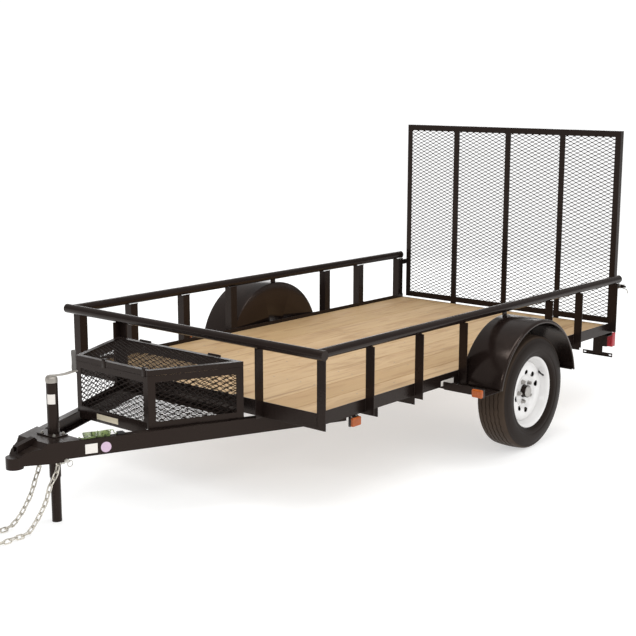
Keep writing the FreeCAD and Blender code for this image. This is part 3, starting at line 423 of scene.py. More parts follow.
# The top rail is round pipe, mitred at the corners and welded to the tops of
# the posts, with pressed plugs in its rear ends, in the same gloss black.
pipe_paint = black_paint("pipe_paint", 0.20)
coat(pipe_paint, 0.0008, "top_rail")
plug_bm = bmesh.new()
pipe_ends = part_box("top_rail")
pipe_rear, pipe_level, pipe_out = pipe_ends[0].x, (pipe_ends[0].z + pipe_ends[1].z) / 2, 0.853
for side in (1, -1):
    for near, far, radius, tip in ((-0.002, 0.002, 0.0245, None), (0.0015, 0.004, 0.021, 0.017)):
        rod_between(plug_bm, (pipe_rear - near, side * pipe_out, pipe_level),
                    (pipe_rear - far, side * pipe_out, pipe_level), radius, 32, tip)
plug_black = mottled("plug_black", 90, (0.012, 0.011, 0.011), (0.022, 0.02, 0.02), 0.45)
plug_black.feed(Normal=plug_black.bump(plug_black.noise(90, 2), 0.0003, 0.3))
piece_from(plug_bm, "pipe_plugs", plug_black, "black_plastic")


# The coupler is pressed plate over the tongue's nose, with a channel latch on
# its roof. The jack is a drawn tube in a flange, bolted down through the tongue.
pressed_edge = 0.001
coat(frame_paint, pressed_edge, "coupler", "coupler_latch", "jack_tube", "jack_leg")


def hex_bolt(bm, at, out, size):
    """A washer and a hexagon head that stand on a face."""
    at, out = Vector(at), Vector(out).normalized()
    rod_between(bm, at - out * 0.001, at + out * size * 0.25, size * 1.35, 20)
    rod_between(bm, at + out * size * 0.2, at + out * size * 1.05, size * 1.1, 6)
    rod_between(bm, at + out * size * 1.0, at + out * size * 1.5, size * 0.6, 12)


zinc = mottled("zinc_plate", 60, (0.42, 0.40, 0.36), (0.66, 0.64, 0.59), 0.28, 0.2, 3, 0.6, Metallic=0.9)
bolt_bm = bmesh.new()
jack_x, jack_flange_top = 1.611, 0.406
for x in (jack_x + 0.03, jack_x - 0.019):
    for y in (0.042, -0.042):
        hex_bolt(bolt_bm, (x, y, jack_flange_top), (0, 0, 1), 0.006)
coupler_bolts = [((1.65, 0.1335, 0.315), (tongue_lean, 1, 0), 0.0065)]
hanger_bolts = [((x, 0.828, 0.378), (0, 1, 0), 0.007) for x in (-1.053, -0.413)]
marker_bolts = [((x, 0.8245, 0.401), (0, 1, 0), 0.0035) for x in (0.512, 0.548)]
plate_bolts = [((-2.077, y, z), (-1, 0, 0), 0.0045)
               for y, z in ((0.7144, 0.405), (0.7466, 0.405), (0.7775, 0.411))]
arm_bolts = [((-0.262, 0.93, 0.3985), (0, 0, 1), 0.006)]
for side in (1, -1):
    for at, out, size in coupler_bolts + hanger_bolts + marker_bolts + plate_bolts + arm_bolts:
        hex_bolt(bolt_bm, (at[0], side * at[1], at[2]), (out[0], side * out[1], out[2]), size)
piece_from(bolt_bm, "frame_bolts", zinc, "zinc")


# The jack's crank is a zinc plated strap bent over a domed cap, with a grey
# moulded grip that turns on its end. A sprung pin with a ring holds the leg.
def only(kind, made):
    """The verts or the edges among what an operator made."""
    return [g for g in made if isinstance(g, getattr(bmesh.types, kind))]


crank_bm = bmesh.new()
crank_line = [(1.6365, 0.642), (1.6365, 0.654), (1.633, 0.6625), (1.626, 0.6672), (1.612, 0.6685),
              (1.590, 0.6660), (1.560, 0.6630), (1.530, 0.6625), (1.504, 0.6655), (1.488, 0.6665),
              (1.4765, 0.6665)]
crank_width, crank_thick, grip_x = 0.023, 0.005, 1.488
near = [crank_bm.verts.new((x, -crank_width / 2, z)) for x, z in crank_line]
spine = [crank_bm.edges.new(pair) for pair in zip(near, near[1:])]
grown = bmesh.ops.extrude_edge_only(crank_bm, edges=spine)["geom"]
bmesh.ops.translate(crank_bm, vec=(0, crank_width, 0), verts=only("BMVert", grown))
bmesh.ops.recalc_face_normals(crank_bm, faces=crank_bm.faces)
bmesh.ops.solidify(crank_bm, geom=crank_bm.faces[:], thickness=crank_thick)


def turned(bm, profile, centre, steps, axis="Z", angle=math.tau, start=0.0):
    """Spin a profile of (distance along the axis, radius) points about an axis."""
    centre = Vector(centre)
    pivot = Vector([float(axis == letter) for letter in "XYZ"])
    out = Vector((1, 0, 0)) if axis == "Z" else Vector((0, 0, 1))
    out.rotate(Matrix.Rotation(start, 3, pivot))
    closed = profile[0] == profile[-1]
    verts = [bm.verts.new(centre + pivot * a + out * r) for a, r in (profile[:-1] if closed else profile)]
    edges = [bm.edges.new(pair) for pair in zip(verts, verts[1:] + verts[:1] if closed else verts[1:])]
    bmesh.ops.spin(bm, geom=verts + edges, cent=centre, axis=pivot, angle=angle, steps=steps,
                   use_merge=angle == math.tau)
    bmesh.ops.remove_doubles(bm, verts=bm.verts, dist=0.000002)
    bmesh.ops.recalc_face_normals(bm, faces=bm.faces)


def hoop(bm, centre, radius, thick, axis="Y", steps=28, angle=math.tau, start=0.0):
    """A ring of round wire, or part of one."""
    turns = [math.tau * i / 10 for i in range(10)]
    wire = [(thick * math.cos(turn), radius + thick * math.sin(turn)) for turn in turns]
    turned(bm, wire + wire[:1], centre, steps, axis, angle, start)


def curve_points(at, along, bend, start, end, count):
    """Points of a round stretch in a profile, by its centre, radius and two angles."""
    turns = [math.radians(start + (end - start) * i / count) for i in range(count + 1)]
    return [(at + bend * math.cos(turn), along + bend * math.sin(turn)) for turn in turns]


dome_line = [(0.636, 0), (0.636, 0.0262), (0.652, 0.0262), (0.658, 0.0245), (0.6625, 0.018), (0.664, 0)]
turned(crank_bm, dome_line, (jack_x, 0, 0), 32)
rod_between(crank_bm, (grip_x, 0, 0.660), (grip_x, 0, 0.672), 0.008, 20)
crank_metal = mottled("crank_metal", 45, (0.30, 0.275, 0.245), (0.44, 0.41, 0.37), 0.33, 0.2, 3, 0.6,
                      Metallic=0.75)
piece_from(crank_bm, "crank_arm", crank_metal, "zinc", "jack_crank", smooth=35)
grip_bm = bmesh.new()
grip_line = [(0.669, 0), (0.669, 0.0085), (0.671, 0.0105), (0.680, 0.0112), (0.700, 0.0098),
             (0.725, 0.0098), (0.745, 0.0112), (0.755, 0.0108), (0.759, 0.0085), (0.760, 0)]
turned(grip_bm, grip_line, (grip_x, 0, 0), 24)
grip_grey = mottled("grip_grey", 80, (0.075, 0.07, 0.065), (0.12, 0.113, 0.105), 0.45, 0.2, 3)
grip_grey.feed(Normal=grip_grey.bump(grip_grey.noise(600, 2), 0.0003, 0.3))
piece_from(grip_bm, "crank_handle", grip_grey, "crank_grip", smooth=45)

pin_bm = bmesh.new()
pin_level, pin_end = 0.268, (1.548, 0.026)
rod_between(pin_bm, (1.587, 0.010, pin_level), (*pin_end, pin_level), 0.0055, 20)
rod_between(pin_bm, (1.5865, 0.010, pin_level), (1.572, 0.016, pin_level), 0.010, 20)
hoop(pin_bm, (*pin_end, pin_level - 0.0125), 0.014, 0.0016)
piece_from(pin_bm, "jack_pin", zinc, "zinc")


# The axle is round tube on two short leaf packs, which hang from welded
# hangers and are clamped over the tube by U bolts and a flat tie plate.
coat(frame_paint, None, "axle_beam")
coat(frame_paint, 0.0008, "leaf_springs")
clamp_bm = bmesh.new()
axle_x, axle_z = -0.733, 0.309
spring_out, clamp_half, bolt_bend, bolt_wire = 0.803, 0.026, 0.0355, 0.005
tie_low, tie_high, nut_top, bolt_top = 0.3535, 0.3605, 0.3685, 0.374
for side in (1, -1):
    for y in (side * spring_out - clamp_half, side * spring_out + clamp_half):
        hoop(clamp_bm, (axle_x, y, axle_z), bolt_bend, bolt_wire, "Y", 16, math.pi, math.pi / 2)
        for x in (axle_x - bolt_bend, axle_x + bolt_bend):
            rod_between(clamp_bm, (x, y, axle_z), (x, y, bolt_top), bolt_wire, 12)
            rod_between(clamp_bm, (x, y, tie_high), (x, y, nut_top), 0.0095, 6)
    block(clamp_bm, (axle_x - 0.05, side * spring_out - 0.037, tie_low),
          (axle_x + 0.05, side * spring_out + 0.037, tie_high), 0.001)
piece_from(clamp_bm, "spring_clamps", frame_paint, "black_steel")


# Each tyre is a ribbed trailer tyre. Its tread has five circumferential grooves
# that zigzag a little, and its sidewall swells between the bead and shoulder.
rubber = Finish("tyre_rubber", Specular_IOR_Level=0.16, Specular_Tint=warm_gloss)
rubber_cloud = rubber.noise(9, 4, 0.6)
hub_shift = rubber.node("VectorMath", {"operation": "SUBTRACT"}, {0: rubber.place, 1: (axle_x, 0, axle_z)})
in_wheel = rubber.stretch((1, 0, 1), hub_shift)
from_axle = rubber.node("VectorMath", {"operation": "LENGTH"}, {0: in_wheel}, "Value")
road_dust = rubber.between(from_axle, 0.291, 0.300) * (rubber_cloud * 0.5 + 0.4)
side_black = rubber.blend(rubber_cloud, (0.0075, 0.0052, 0.0044), (0.015, 0.0108, 0.009))
rubber.feed(Base_Color=rubber.blend(road_dust, side_black, (0.062, 0.043, 0.030)),
            Roughness=rubber_cloud * 0.15 + 0.42,
            Normal=rubber.bump(rubber.noise(700, 2), 0.0004, 0.4))
tyre_steps = 240
tread_crown, tread_fall, tread_edge, tread_inside = 0.309, 0.0045, 0.070, 0.293
grooves = (-0.050, -0.025, 0.0, 0.025, 0.050)
groove_deep, groove_half, groove_floor = 0.0045, 0.0030, 0.0020
zigzag, zigzag_steps, zigzag_edge = 0.0022, 6, 0.062
outer_wall = [(0.0755, 0.3022), (0.0795, 0.2985), (0.0815, 0.294), (0.0835, 0.2905), (0.0832, 0.2885),
              (0.0870, 0.279), (0.0905, 0.266), (0.0925, 0.251), (0.0928, 0.239), (0.0921, 0.228),
              (0.0911, 0.2262), (0.0904, 0.2240), (0.0908, 0.2222), (0.0885, 0.213), (0.0862, 0.2062),
              (0.0838, 0.2050), (0.0826, 0.2032), (0.0770, 0.1975), (0.0720, 0.1955), (0.0680, 0.1944)]
inner_wall = [(0.060, 0.1895), (0.068, 0.203), (0.080, 0.228), (0.081, 0.255), (0.070, 0.288)]
wall = outer_wall + inner_wall
for name, way in (("left", 1), ("right", -1)):
    low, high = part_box("tyre_" + name)
    centre = (low + high) / 2
    tread = [-tread_edge]
    for groove in grooves:
        tread += [groove - groove_half, groove - groove_floor, groove + groove_floor, groove + groove_half]
    tread.append(tread_edge)
    line = []
    for i, a in enumerate(tread):
        cut = groove_deep if i % 4 in (2, 3) and 0 < i < len(tread) - 1 else 0
        line.append((a, tread_crown - tread_fall * (a / tread_edge) ** 2 - cut))
    loop = [(-a, r) for a, r in reversed(wall)] + line + wall
    loop.append(loop[0])
    tyre_bm = bmesh.new()
    turned(tyre_bm, [(way * a, r) for a, r in loop], centre, tyre_steps, "Y")
    for vert in tyre_bm.verts:
        out = vert.co - centre
        if abs(out.y) < zigzag_edge and math.hypot(out.x, out.z) > tread_inside:
            step = round(math.atan2(out.x, out.z) / math.tau * tyre_steps) % zigzag_steps
            vert.co.y += zigzag * (abs(step - zigzag_steps / 2) / (zigzag_steps / 4) - 1)
    piece_from(tyre_bm, "ribbed_tyre_" + name, rubber, "tyre", "tyre_" + name, body="wheel_" + name)


# Each wheel is a pressed steel disc with six slots, welded into a rolled rim
# and sprayed gloss white; all that lies behind the disc face is painted near
# black as painted shade. Five nuts hold it and a black rubber valve stands out.
# A black disc stands behind the wheel disc, on the axle, as painted shade that
# darkens what is seen through the slots.
def volume_of(mesh):
    """The signed volume inside a mesh."""
    bm = bmesh.new()
    bm.from_mesh(mesh)
    volume = bm.calc_volume(signed=True)
    bm.free()
    return volume


def carve(piece, cutter_bm):
    """Cut a shape out of a piece for good. A cut that comes out inside out is made again."""
    cutter = object_from("cutter", mesh_from(cutter_bm, "cutter"))
    hole = piece.modifiers.new("hole", "BOOLEAN")
    hole.operation = "DIFFERENCE"
    hole.object = cutter
    whole = volume_of(piece.data)
    for attempt in range(20):
        piece.update_tag(refresh={"DATA"})
        carved = bpy.data.meshes.new_from_object(piece.evaluated_get(bpy.context.evaluated_depsgraph_get()))
        if 0 < volume_of(carved) < 0.98 * whole:
            break
    piece.modifiers.remove(hole)
    piece.data = carved
    bpy.data.objects.remove(cutter)
    carved.shade_smooth()
    carved.set_sharp_from_angle(angle=math.radians(35))


wheel_white = Finish("wheel_white", Coat_Weight=0.4, Coat_Roughness=0.12)
white_cloud = wheel_white.noise(7, 3, 0.6)
across_bed = wheel_white.node("SeparateXYZ", {}, {"Vector": wheel_white.place}, "Y")
rim_middle = sum(corner.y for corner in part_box("rim_left")) / 2
# Painted shade: the barrel's inside and the disc's back, behind the disc face, are coloured near black so
# the slots read dark.
out_of_painted_shade = wheel_white.between(across_bed.math("ABSOLUTE", across_bed, 0.0) - rim_middle, 0.0165, 0.0190)
sprayed_white = wheel_white.blend(white_cloud, (0.66, 0.65, 0.64), (0.74, 0.73, 0.72))
wheel_white.feed(Base_Color=wheel_white.blend(out_of_painted_shade, (0.035, 0.031, 0.028), sprayed_white),
                 Roughness=white_cloud * 0.1 + 0.28,
                 Normal=wheel_white.bump(wheel_white.noise(300, 1), 0.0005, 0.2))
hub_black = black_paint("hub_black", 0.26)
coat(hub_black, 0.0015, "hub_left", "hub_right")
nut_steel = mottled("nut_steel", 120, (0.30, 0.285, 0.27), (0.50, 0.48, 0.46), 0.25, 0.15, Metallic=0.85)
valve_rubber = mottled("valve_rubber", 200, (0.012, 0.012, 0.012), (0.025, 0.024, 0.024), 0.5)
rim_loop = [(0.0685, 0.1945), (0.0703, 0.1922), (0.0690, 0.1896), (0.0648, 0.1856), (0.0585, 0.1808),
            (0.0500, 0.1768), (0.0300, 0.1725), (0.0225, 0.1660), (0.0135, 0.1565), (0.0100, 0.1550),
            (-0.0150, 0.1540), (-0.0250, 0.1655), (-0.0480, 0.1720), (-0.0600, 0.1775), (-0.0660, 0.1822),
            (-0.0672, 0.1846), (-0.0655, 0.1868), (-0.0628, 0.1850), (-0.0560, 0.1785), (-0.0470, 0.1755),
            (-0.0235, 0.1690), (-0.0138, 0.1575), (0.0100, 0.1585), (0.0210, 0.1695), (0.0290, 0.1755),
            (0.0480, 0.1800), (0.0570, 0.1842), (0.0640, 0.1915), (0.0685, 0.1945)]
disc_face = [(0.0180, 0.0350), (0.0215, 0.0362), (0.0220, 0.0400), (0.0220, 0.0790), (0.0235, 0.0830),
             (0.0275, 0.0880), (0.0320, 0.0930), (0.0352, 0.0990), (0.0364, 0.1060), (0.0366, 0.1180),
             (0.0360, 0.1300), (0.0345, 0.1420), (0.0318, 0.1520), (0.0275, 0.1590), (0.0215, 0.1625),
             (0.0150, 0.1620)]
disc_wall = 0.0038
disc_loop = disc_face + [(a - disc_wall, r) for a, r in reversed(disc_face)] + disc_face[:1]
nut_circle, nut_turn = 0.05715, -21.8
slot_circle, slot_half_long, slot_half_high = 0.1045, 0.0175, 0.0140
slot_turns = (-2, 37, 76, 178, 217, 256)
nut_steps = ((0.0215, 0.0255, 0.0128, 24, 0.0112), (0.025, 0.0385, 0.0112, 6, None),
             (0.038, 0.040, 0.0085, 20, 0.0068), (0.039, 0.0435, 0.0058, 16, None))
valve_turn = 60
valve_steps = (((0.163, 0.028), (0.156, 0.040), 0.0075, 16, 0.0055),
               ((0.156, 0.039), (0.146, 0.059), 0.0048, 16, 0.0042),
               ((0.146, 0.0588), (0.141, 0.069), 0.0052, 12, 0.0046))
cap_line = [(0.040, 0.0305), (0.0485, 0.0312), (0.0515, 0.0290), (0.0530, 0.0250), (0.0533, 0.0150),
            (0.0522, 0.0138), (0.0522, 0)]
# The profile of the black disc behind each wheel disc: painted shade seen through the slots.
shade_disc_line = [(-0.022, 0.036), (-0.022, 0.146), (-0.018, 0.148), (-0.018, 0.151), (-0.0245, 0.151),
               (-0.0245, 0.036), (-0.022, 0.036)]
for name, way in (("left", 1), ("right", -1)):
    low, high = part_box("rim_" + name)
    centre = (low + high) / 2

    def on_wheel(radius, turn, out):
        """A point on the wheel, by radius, turn back from the top and distance outward."""
        turn = math.radians(turn)
        return centre + Vector((-radius * math.sin(turn), way * out, radius * math.cos(turn)))

    def wheel_part(line, piece_name, finish, slot, *stands_for, body="wheel_" + name, steps=128, smooth=40):
        """A piece that is round about the axle, by its profile."""
        bm = bmesh.new()
        turned(bm, [(way * a, r) for a, r in line], centre, steps, "Y")
        return piece_from(bm, piece_name + name, finish, slot, *stands_for, body=body, smooth=smooth)

    wheel_part(rim_loop, "wheel_barrel_", wheel_white, "wheel_paint", "rim_" + name, smooth=35)
    disc = wheel_part(disc_loop, "wheel_disc_", wheel_white, "wheel_paint", smooth=None)
    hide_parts("rim_" + name)
    slot_bm = bmesh.new()
    for turn in slot_turns:
        start, spot, end = (on_wheel(slot_circle, turn, out) for out in (0, 0.03, 0.06))
        slot = rod_between(slot_bm, start, end, 1, 24)
        flatten = Matrix.Diagonal((slot_half_long, 1, slot_half_high, 1))
        lean = Matrix.Rotation(math.radians(-turn), 4, "Y")
        back = Matrix.Translation(spot) @ lean @ flatten @ Matrix.Translation(-spot)
        bmesh.ops.transform(slot_bm, matrix=back, verts=slot)
    bmesh.ops.recalc_face_normals(slot_bm, faces=slot_bm.faces)
    carve(disc, slot_bm)

    nut_bm = bmesh.new()
    for i in range(5):
        turn = nut_turn + 72 * i
        for near, far, radius, sides, tip in nut_steps:
            start, end = on_wheel(nut_circle, turn, near), on_wheel(nut_circle, turn, far)
            rod_between(nut_bm, start, end, radius, sides, tip)
    piece_from(nut_bm, "wheel_nuts_" + name, nut_steel, "zinc", smooth=30, body="wheel_" + name)
    valve_bm = bmesh.new()
    for near, far, radius, sides, tip in valve_steps:
        start, end = on_wheel(near[0], valve_turn, near[1]), on_wheel(far[0], valve_turn, far[1])
        rod_between(valve_bm, start, end, radius, sides, tip)
    piece_from(valve_bm, "valve_stem_" + name, valve_rubber, "black_plastic", body="wheel_" + name)
    wheel_part(cap_line, "grease_cap_", nut_steel, "zinc", steps=48)
    # The black disc behind the wheel disc is painted shade for the slots.
    wheel_part(shade_disc_line, "painted_shade_disc_", hub_black, "black_steel", body="trailer", steps=64)


# Each fender is a half round of rolled sheet with a rounded, hemmed front edge
# and a closed back plate, welded to a brace at each end and sprayed gloss black.
def cut_away(bm, at, out, near):
    """Cut off all that lies beyond a plane."""
    bmesh.ops.bisect_plane(bm, geom=bm.verts[:] + bm.edges[:] + bm.faces[:], dist=near, plane_co=at,
                           plane_no=out, clear_outer=True)


fender_paint = black_paint("fender_paint", 0.12, shine=0.36)
sheet, rear_drop = 0.002, 0.021
back_hole, back_bend, face_bend, hem = 0.08, 0.006, 0.013, 0.003
for name, way in (("left", 1), ("right", -1)):
    low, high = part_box("fender_" + name)
    inner = low.y if way > 0 else high.y
    width = high.y - low.y
    radius = high.z - axle_z
    centre = Vector((axle_x, inner, axle_z))
    line = [(0.001, back_hole), (0.001, radius - back_bend)]
    line += curve_points(0.001 + back_bend, radius - back_bend, back_bend, 180, 90, 4)[1:]
    line += curve_points(width - face_bend, radius - face_bend, face_bend, 90, 0, 6)
    line += [(width, radius - 0.0145)] + curve_points(width - hem, radius - 0.0135 - hem, hem, 0, -200, 6)
    fender_bm = bmesh.new()
    turned(fender_bm, [(way * a, r) for a, r in line], centre, 128, "Y")
    cut_away(fender_bm, (high.x, 0, low.z), (rear_drop, 0, low.x - high.x), 0.000001)
    crown = max(fender_bm.faces, key=lambda face: face.calc_center_median().z)
    if crown.normal.z < 0:
        bmesh.ops.reverse_faces(fender_bm, faces=fender_bm.faces[:])
    fender = piece_from(fender_bm, "fender_sheet_" + name, fender_paint, "black_steel", "fender_" + name,
                        smooth=50)
    thicken = fender.modifiers.new("thicken", "SOLIDIFY")
    thicken.thickness = sheet
    thicken.offset = -1

brace_bm = bmesh.new()
brace_front, brace_low, brace_inner, brace_outer = -1.118, 0.377, 0.828, 1.080
for side in (1, -1):
    start, end = sorted((side * brace_inner, side * brace_outer))
    for x, z in ((-1.113, 0.414), (-1.088, 0.382)):
        block(brace_bm, (brace_front, start, brace_low), (x, end, z), 0.001)
piece_from(brace_bm, "fender_rear_braces", frame_paint, "black_steel")


# The lamps are moulded lenses with ribs inside, on black backs, bolted to
# short brackets: red at the tail, amber ahead of the fenders and at the front.
rib_radius, rib_sunk = 0.0022, 0.0008


def ribbed_lens(bm, low, high, round_off, ribs, rib_axis, rib_face):
    """A rounded lens with half round ribs that stand a little out of two faces."""
    block(bm, low, high, round_off, None, 4)
    middle = (low + high) / 2
    across = [i for i in range(3) if i not in (rib_axis, rib_face)][0]
    for end in (low, high):
        for i in range(ribs):
            at = middle.copy()
            at[rib_face] = end[rib_face] - rib_sunk * (1 if end is high else -1)
            span = high[across] - low[across] - 2 * round_off
            at[across] = low[across] + round_off + span * (i + 0.5) / ribs
            start, stop = at.copy(), at.copy()
            start[rib_axis], stop[rib_axis] = low[rib_axis] + round_off, high[rib_axis] - round_off
            rod_between(bm, start, stop, rib_radius, 10)


def lens_finish(name, light, deep):
    """Clear coloured plastic over a bright reflector, paler where it is thin."""
    lens = Finish(name, Coat_Weight=0.25, Coat_Roughness=0.05, Specular_IOR_Level=0.3)
    cells = lens.node("TexVoronoi", {"feature": "F1"}, {"Vector": lens.place, "Scale": 230.0}, "Distance")
    depth = lens.noise(38, 3, 0.6)
    lens.feed(Base_Color=lens.blend(depth * 0.6 + cells * 0.3, light, deep), Roughness=depth * 0.1 + 0.1,
              Normal=lens.bump(cells, 0.0008, 0.35))
    return lens


lamp_black = mottled("lamp_black", 150, (0.012, 0.011, 0.011), (0.024, 0.022, 0.021), 0.4)
red_lens = lens_finish("red_lens", (0.46, 0.008, 0.022), (0.11, 0.001, 0.004))
amber_lens = lens_finish("amber_lens", (0.46, 0.105, 0.014), (0.17, 0.030, 0.003))
red_bm, amber_bm, back_bm = bmesh.new(), bmesh.new(), bmesh.new()
lens_round, back_ease, rim = 0.006, 0.0015, 0.001
for low, high in map(ends_of, solids_of("tail_lamps")):
    inner = sorted((low.y, high.y), key=abs)[0]
    near, far = sorted((inner, inner + math.copysign(0.012, inner)))
    block(back_bm, (high.x - 0.020, near, low.z), (high.x, far, high.z), back_ease)
    ribbed_lens(red_bm, low + Vector((0, 0.0015, 0.0015)), high - Vector((0.001, 0.0015, 0.0015)),
                lens_round, 7, 1, 0)
for low, high in map(ends_of, solids_of("marker_lamps")):
    if low.x < -0.1:
        block(back_bm, low, (low.x + 0.008, high.y, high.z), back_ease)
        ribbed_lens(amber_bm, low + Vector((0.006, rim, rim)), high - Vector((0, rim, rim)),
                    lens_round, 6, 2, 0)
    else:
        back, face = sorted((low.y, high.y), key=abs)
        inner = back + math.copysign(0.007, back)
        block(back_bm, (low.x, min(back, inner), low.z), (high.x, max(back, inner), high.z), back_ease)
        ribbed_lens(amber_bm, Vector((low.x + rim, min(inner, face), low.z + rim)),
                    Vector((high.x - rim, max(inner, face), high.z - rim)), lens_round * 0.8, 6, 2, 1)
piece_from(red_bm, "red_lamps", red_lens, "red_lens", "tail_lamps")
piece_from(amber_bm, "amber_lamps", amber_lens, "amber_lens", "marker_lamps")
lamp_backs = piece_from(back_bm, "lamp_backs", lamp_black, "black_plastic")
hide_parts("tail_lamps", "marker_lamps")


# The ramp gate is an angle iron frame filled with raised expanded steel, slit
# and stretched so that its diamonds lie on their sides, welded to the frame.
def expanded_sheet(bm, corners, origin, across, up, strand=0.0036, thick=0.0024):
    """Fill a convex outline, given in the sheet's own (across, up) metres."""
    long_pitch, short_pitch, bond = 0.0508, 0.0234, 0.009
    lean = math.cos(math.radians(38)), math.sin(math.radians(38))
    low = Vector((min(c[0] for c in corners), min(c[1] for c in corners)))
    high = Vector((max(c[0] for c in corners), max(c[1] for c in corners)))
    weave = bmesh.new()
    half = long_pitch / 2
    columns = math.ceil((high.x - low.x) / half) + 2
    ring = [weave.verts.new((low.x - half, a * lean[0] - b * lean[1], a * lean[1] + b * lean[0]))
            for a, b in ((-strand / 2, -thick / 2), (strand / 2, -thick / 2), (strand / 2, thick / 2),
                         (-strand / 2, thick / 2))]
    loop = [weave.edges.new((ring[i], ring[(i + 1) % 4])) for i in range(4)]
    rise = short_pitch / 2 - strand * lean[0]
    for i in range(columns):
        for step in ((bond, 0), (half - bond, rise if i % 2 else -rise)):
            grown = bmesh.ops.extrude_edge_only(weave, edges=loop)["geom"]
            loop = [edge for edge in only("BMEdge", grown) if edge.is_boundary]
            bmesh.ops.translate(weave, vec=(*step, 0), verts=only("BMVert", grown))
    row = weave.verts[:] + weave.edges[:] + weave.faces[:]
    for j in range(math.ceil((high.y - low.y) / (short_pitch / 2)) + 2):
        moved = only("BMVert", bmesh.ops.duplicate(weave, geom=row)["geom"])
        shift = (half if j % 2 else 0, low.y + (j - 0.5) * short_pitch / 2, 0)
        bmesh.ops.translate(weave, vec=shift, verts=moved)
    bmesh.ops.delete(weave, geom=row, context="VERTS")
    bmesh.ops.remove_doubles(weave, verts=weave.verts, dist=0.00001)
    for a, b in zip(corners, corners[1:] + corners[:1]):
        outward = Vector((b[0] - a[0], b[1] - a[1], 0)).cross(Vector((0, 0, 1)))
        cut_away(weave, (*a, 0), outward, 0.0000001)
    bmesh.ops.holes_fill(weave, edges=[e for e in weave.edges if e.is_boundary], sides=8)
    bmesh.ops.recalc_face_normals(weave, faces=weave.faces)
    across, up = Vector(across).normalized(), Vector(up).normalized()
    turn = Matrix((across, up, across.cross(up))).transposed().to_4x4()
    bmesh.ops.transform(weave, matrix=Matrix.Translation(origin) @ turn, verts=weave.verts)
    mesh = mesh_from(weave, "sheet")
    bm.from_mesh(mesh)
    bpy.data.meshes.remove(mesh)


coat(frame_paint, mill_edge, "gate_frame")
coat(frame_paint, pressed_edge, "gate_hinges", "gate_latches")
gate_low, gate_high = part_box("gate_mesh")
mesh_paint = black_paint("mesh_paint", 0.45)
gate_bm = bmesh.new()
gate_wide = gate_high.y - gate_low.y
gate_tall = gate_high.z - gate_low.z
gate_corner = ((gate_low.x + gate_high.x) / 2, gate_low.y, gate_low.z)
expanded_sheet(gate_bm, [(0, 0), (gate_wide, 0), (gate_wide, gate_tall), (0, gate_tall)], gate_corner,
               (0, 1, 0), (0, 0, 1))
piece_from(gate_bm, "gate_expanded_steel", mesh_paint, "expanded_metal", "gate_mesh", body="gate",
           smooth=None)

# Each gate latch is a sprung pin with a bent wire handle that hangs from it.
handle_bm = bmesh.new()
latch_x, latch_out, latch_z, handle_wire = -2.104, 0.881, 0.700, 0.0028
for side in (1, -1):
    bend = math.pi if side < 0 else 0
    sweep = math.pi if side < 0 else math.pi * 1.45
    rod_between(handle_bm, (latch_x, side * 0.846, latch_z), (latch_x, side * 0.858, latch_z), 0.0135, 24)
    hoop(handle_bm, (latch_x, side * latch_out, latch_z), 0.012, handle_wire, "X", 16, math.pi, bend)
    hoop(handle_bm, (latch_x, side * latch_out, latch_z - 0.036), 0.024, handle_wire, "X", 14,
         math.pi * 0.55, sweep)
piece_from(handle_bm, "latch_handles", zinc, "zinc", smooth=50)


# The basket is welded angle on the tongue, filled with the same expanded steel,
# under a lid of lighter angle on two barrel hinges.
coat(frame_paint, mill_edge, "basket_frame", "lid_frame")
coat(frame_paint, pressed_edge, "lid_hinges")


def outline_of(flat):
    """The corners of the convex outline round some flat points, turning left."""
    def chain(points):
        kept = []
        for p in points:
            while len(kept) > 1 and (kept[-1] - kept[-2]).cross(p - kept[-1]) <= 1e-7:
                kept.pop()
            kept.append(p)
        return kept[:-1]

    flat = sorted(flat, key=lambda p: (round(p.x, 6), p.y))
    return chain(flat) + chain(flat[::-1])


def panel(bm, points):
    """Fill the outline of one flat panel of the frame with expanded steel."""
    low, high = ends_of(points)
    if high.z - low.z < 0.01:
        across, up, strand = Vector((0, -1, 0)), Vector((1, 0, 0)), 0.0030
    else:
        left = min(points, key=lambda p: (round(p.y, 4), p.x))
        right = max(points, key=lambda p: (round(p.y, 4), -p.x))
        across = Vector((right.x - left.x, right.y - left.y, 0)).normalized()
        up, strand = Vector((0, 0, 1)), 0.0032
    origin = (low + high) / 2
    flat = [Vector(((p - origin).dot(across), (p - origin).dot(up))) for p in points]
    corners = [(c.x, c.y) for c in outline_of(flat)]
    expanded_sheet(bm, corners, origin, across, up, strand)


basket_bm, lid_bm = bmesh.new(), bmesh.new()
for points in solids_of("basket_mesh"):
    panel(basket_bm, points)
for points in solids_of("lid_mesh"):
    panel(lid_bm, points)
piece_from(basket_bm, "basket_expanded_steel", mesh_paint, "expanded_metal", "basket_mesh", smooth=None)
piece_from(lid_bm, "lid_expanded_steel", mesh_paint, "expanded_metal", "lid_mesh", body="basket_lid",
           smooth=None)
skirt_bm = bmesh.new()
skirt_front = 1.2828
block(skirt_bm, (1.2800, -0.235, 0.366), (skirt_front, 0.235, 0.424), 0.0008)
piece_from(skirt_bm, "basket_skirt", frame_paint, "black_steel")
tab_bm = bmesh.new()
tab_half, tab_front = 0.011, 1.2835
for y in (-0.050, 0.225):
    block(tab_bm, (1.2805, y - tab_half, 0.634), (tab_front, y + tab_half, 0.676), 0.0008)
    block(tab_bm, (1.262, y - tab_half, 0.6715), (tab_front, y + tab_half, 0.6745), 0.0008)
piece_from(tab_bm, "lid_tabs", frame_paint, "black_steel", body="basket_lid")


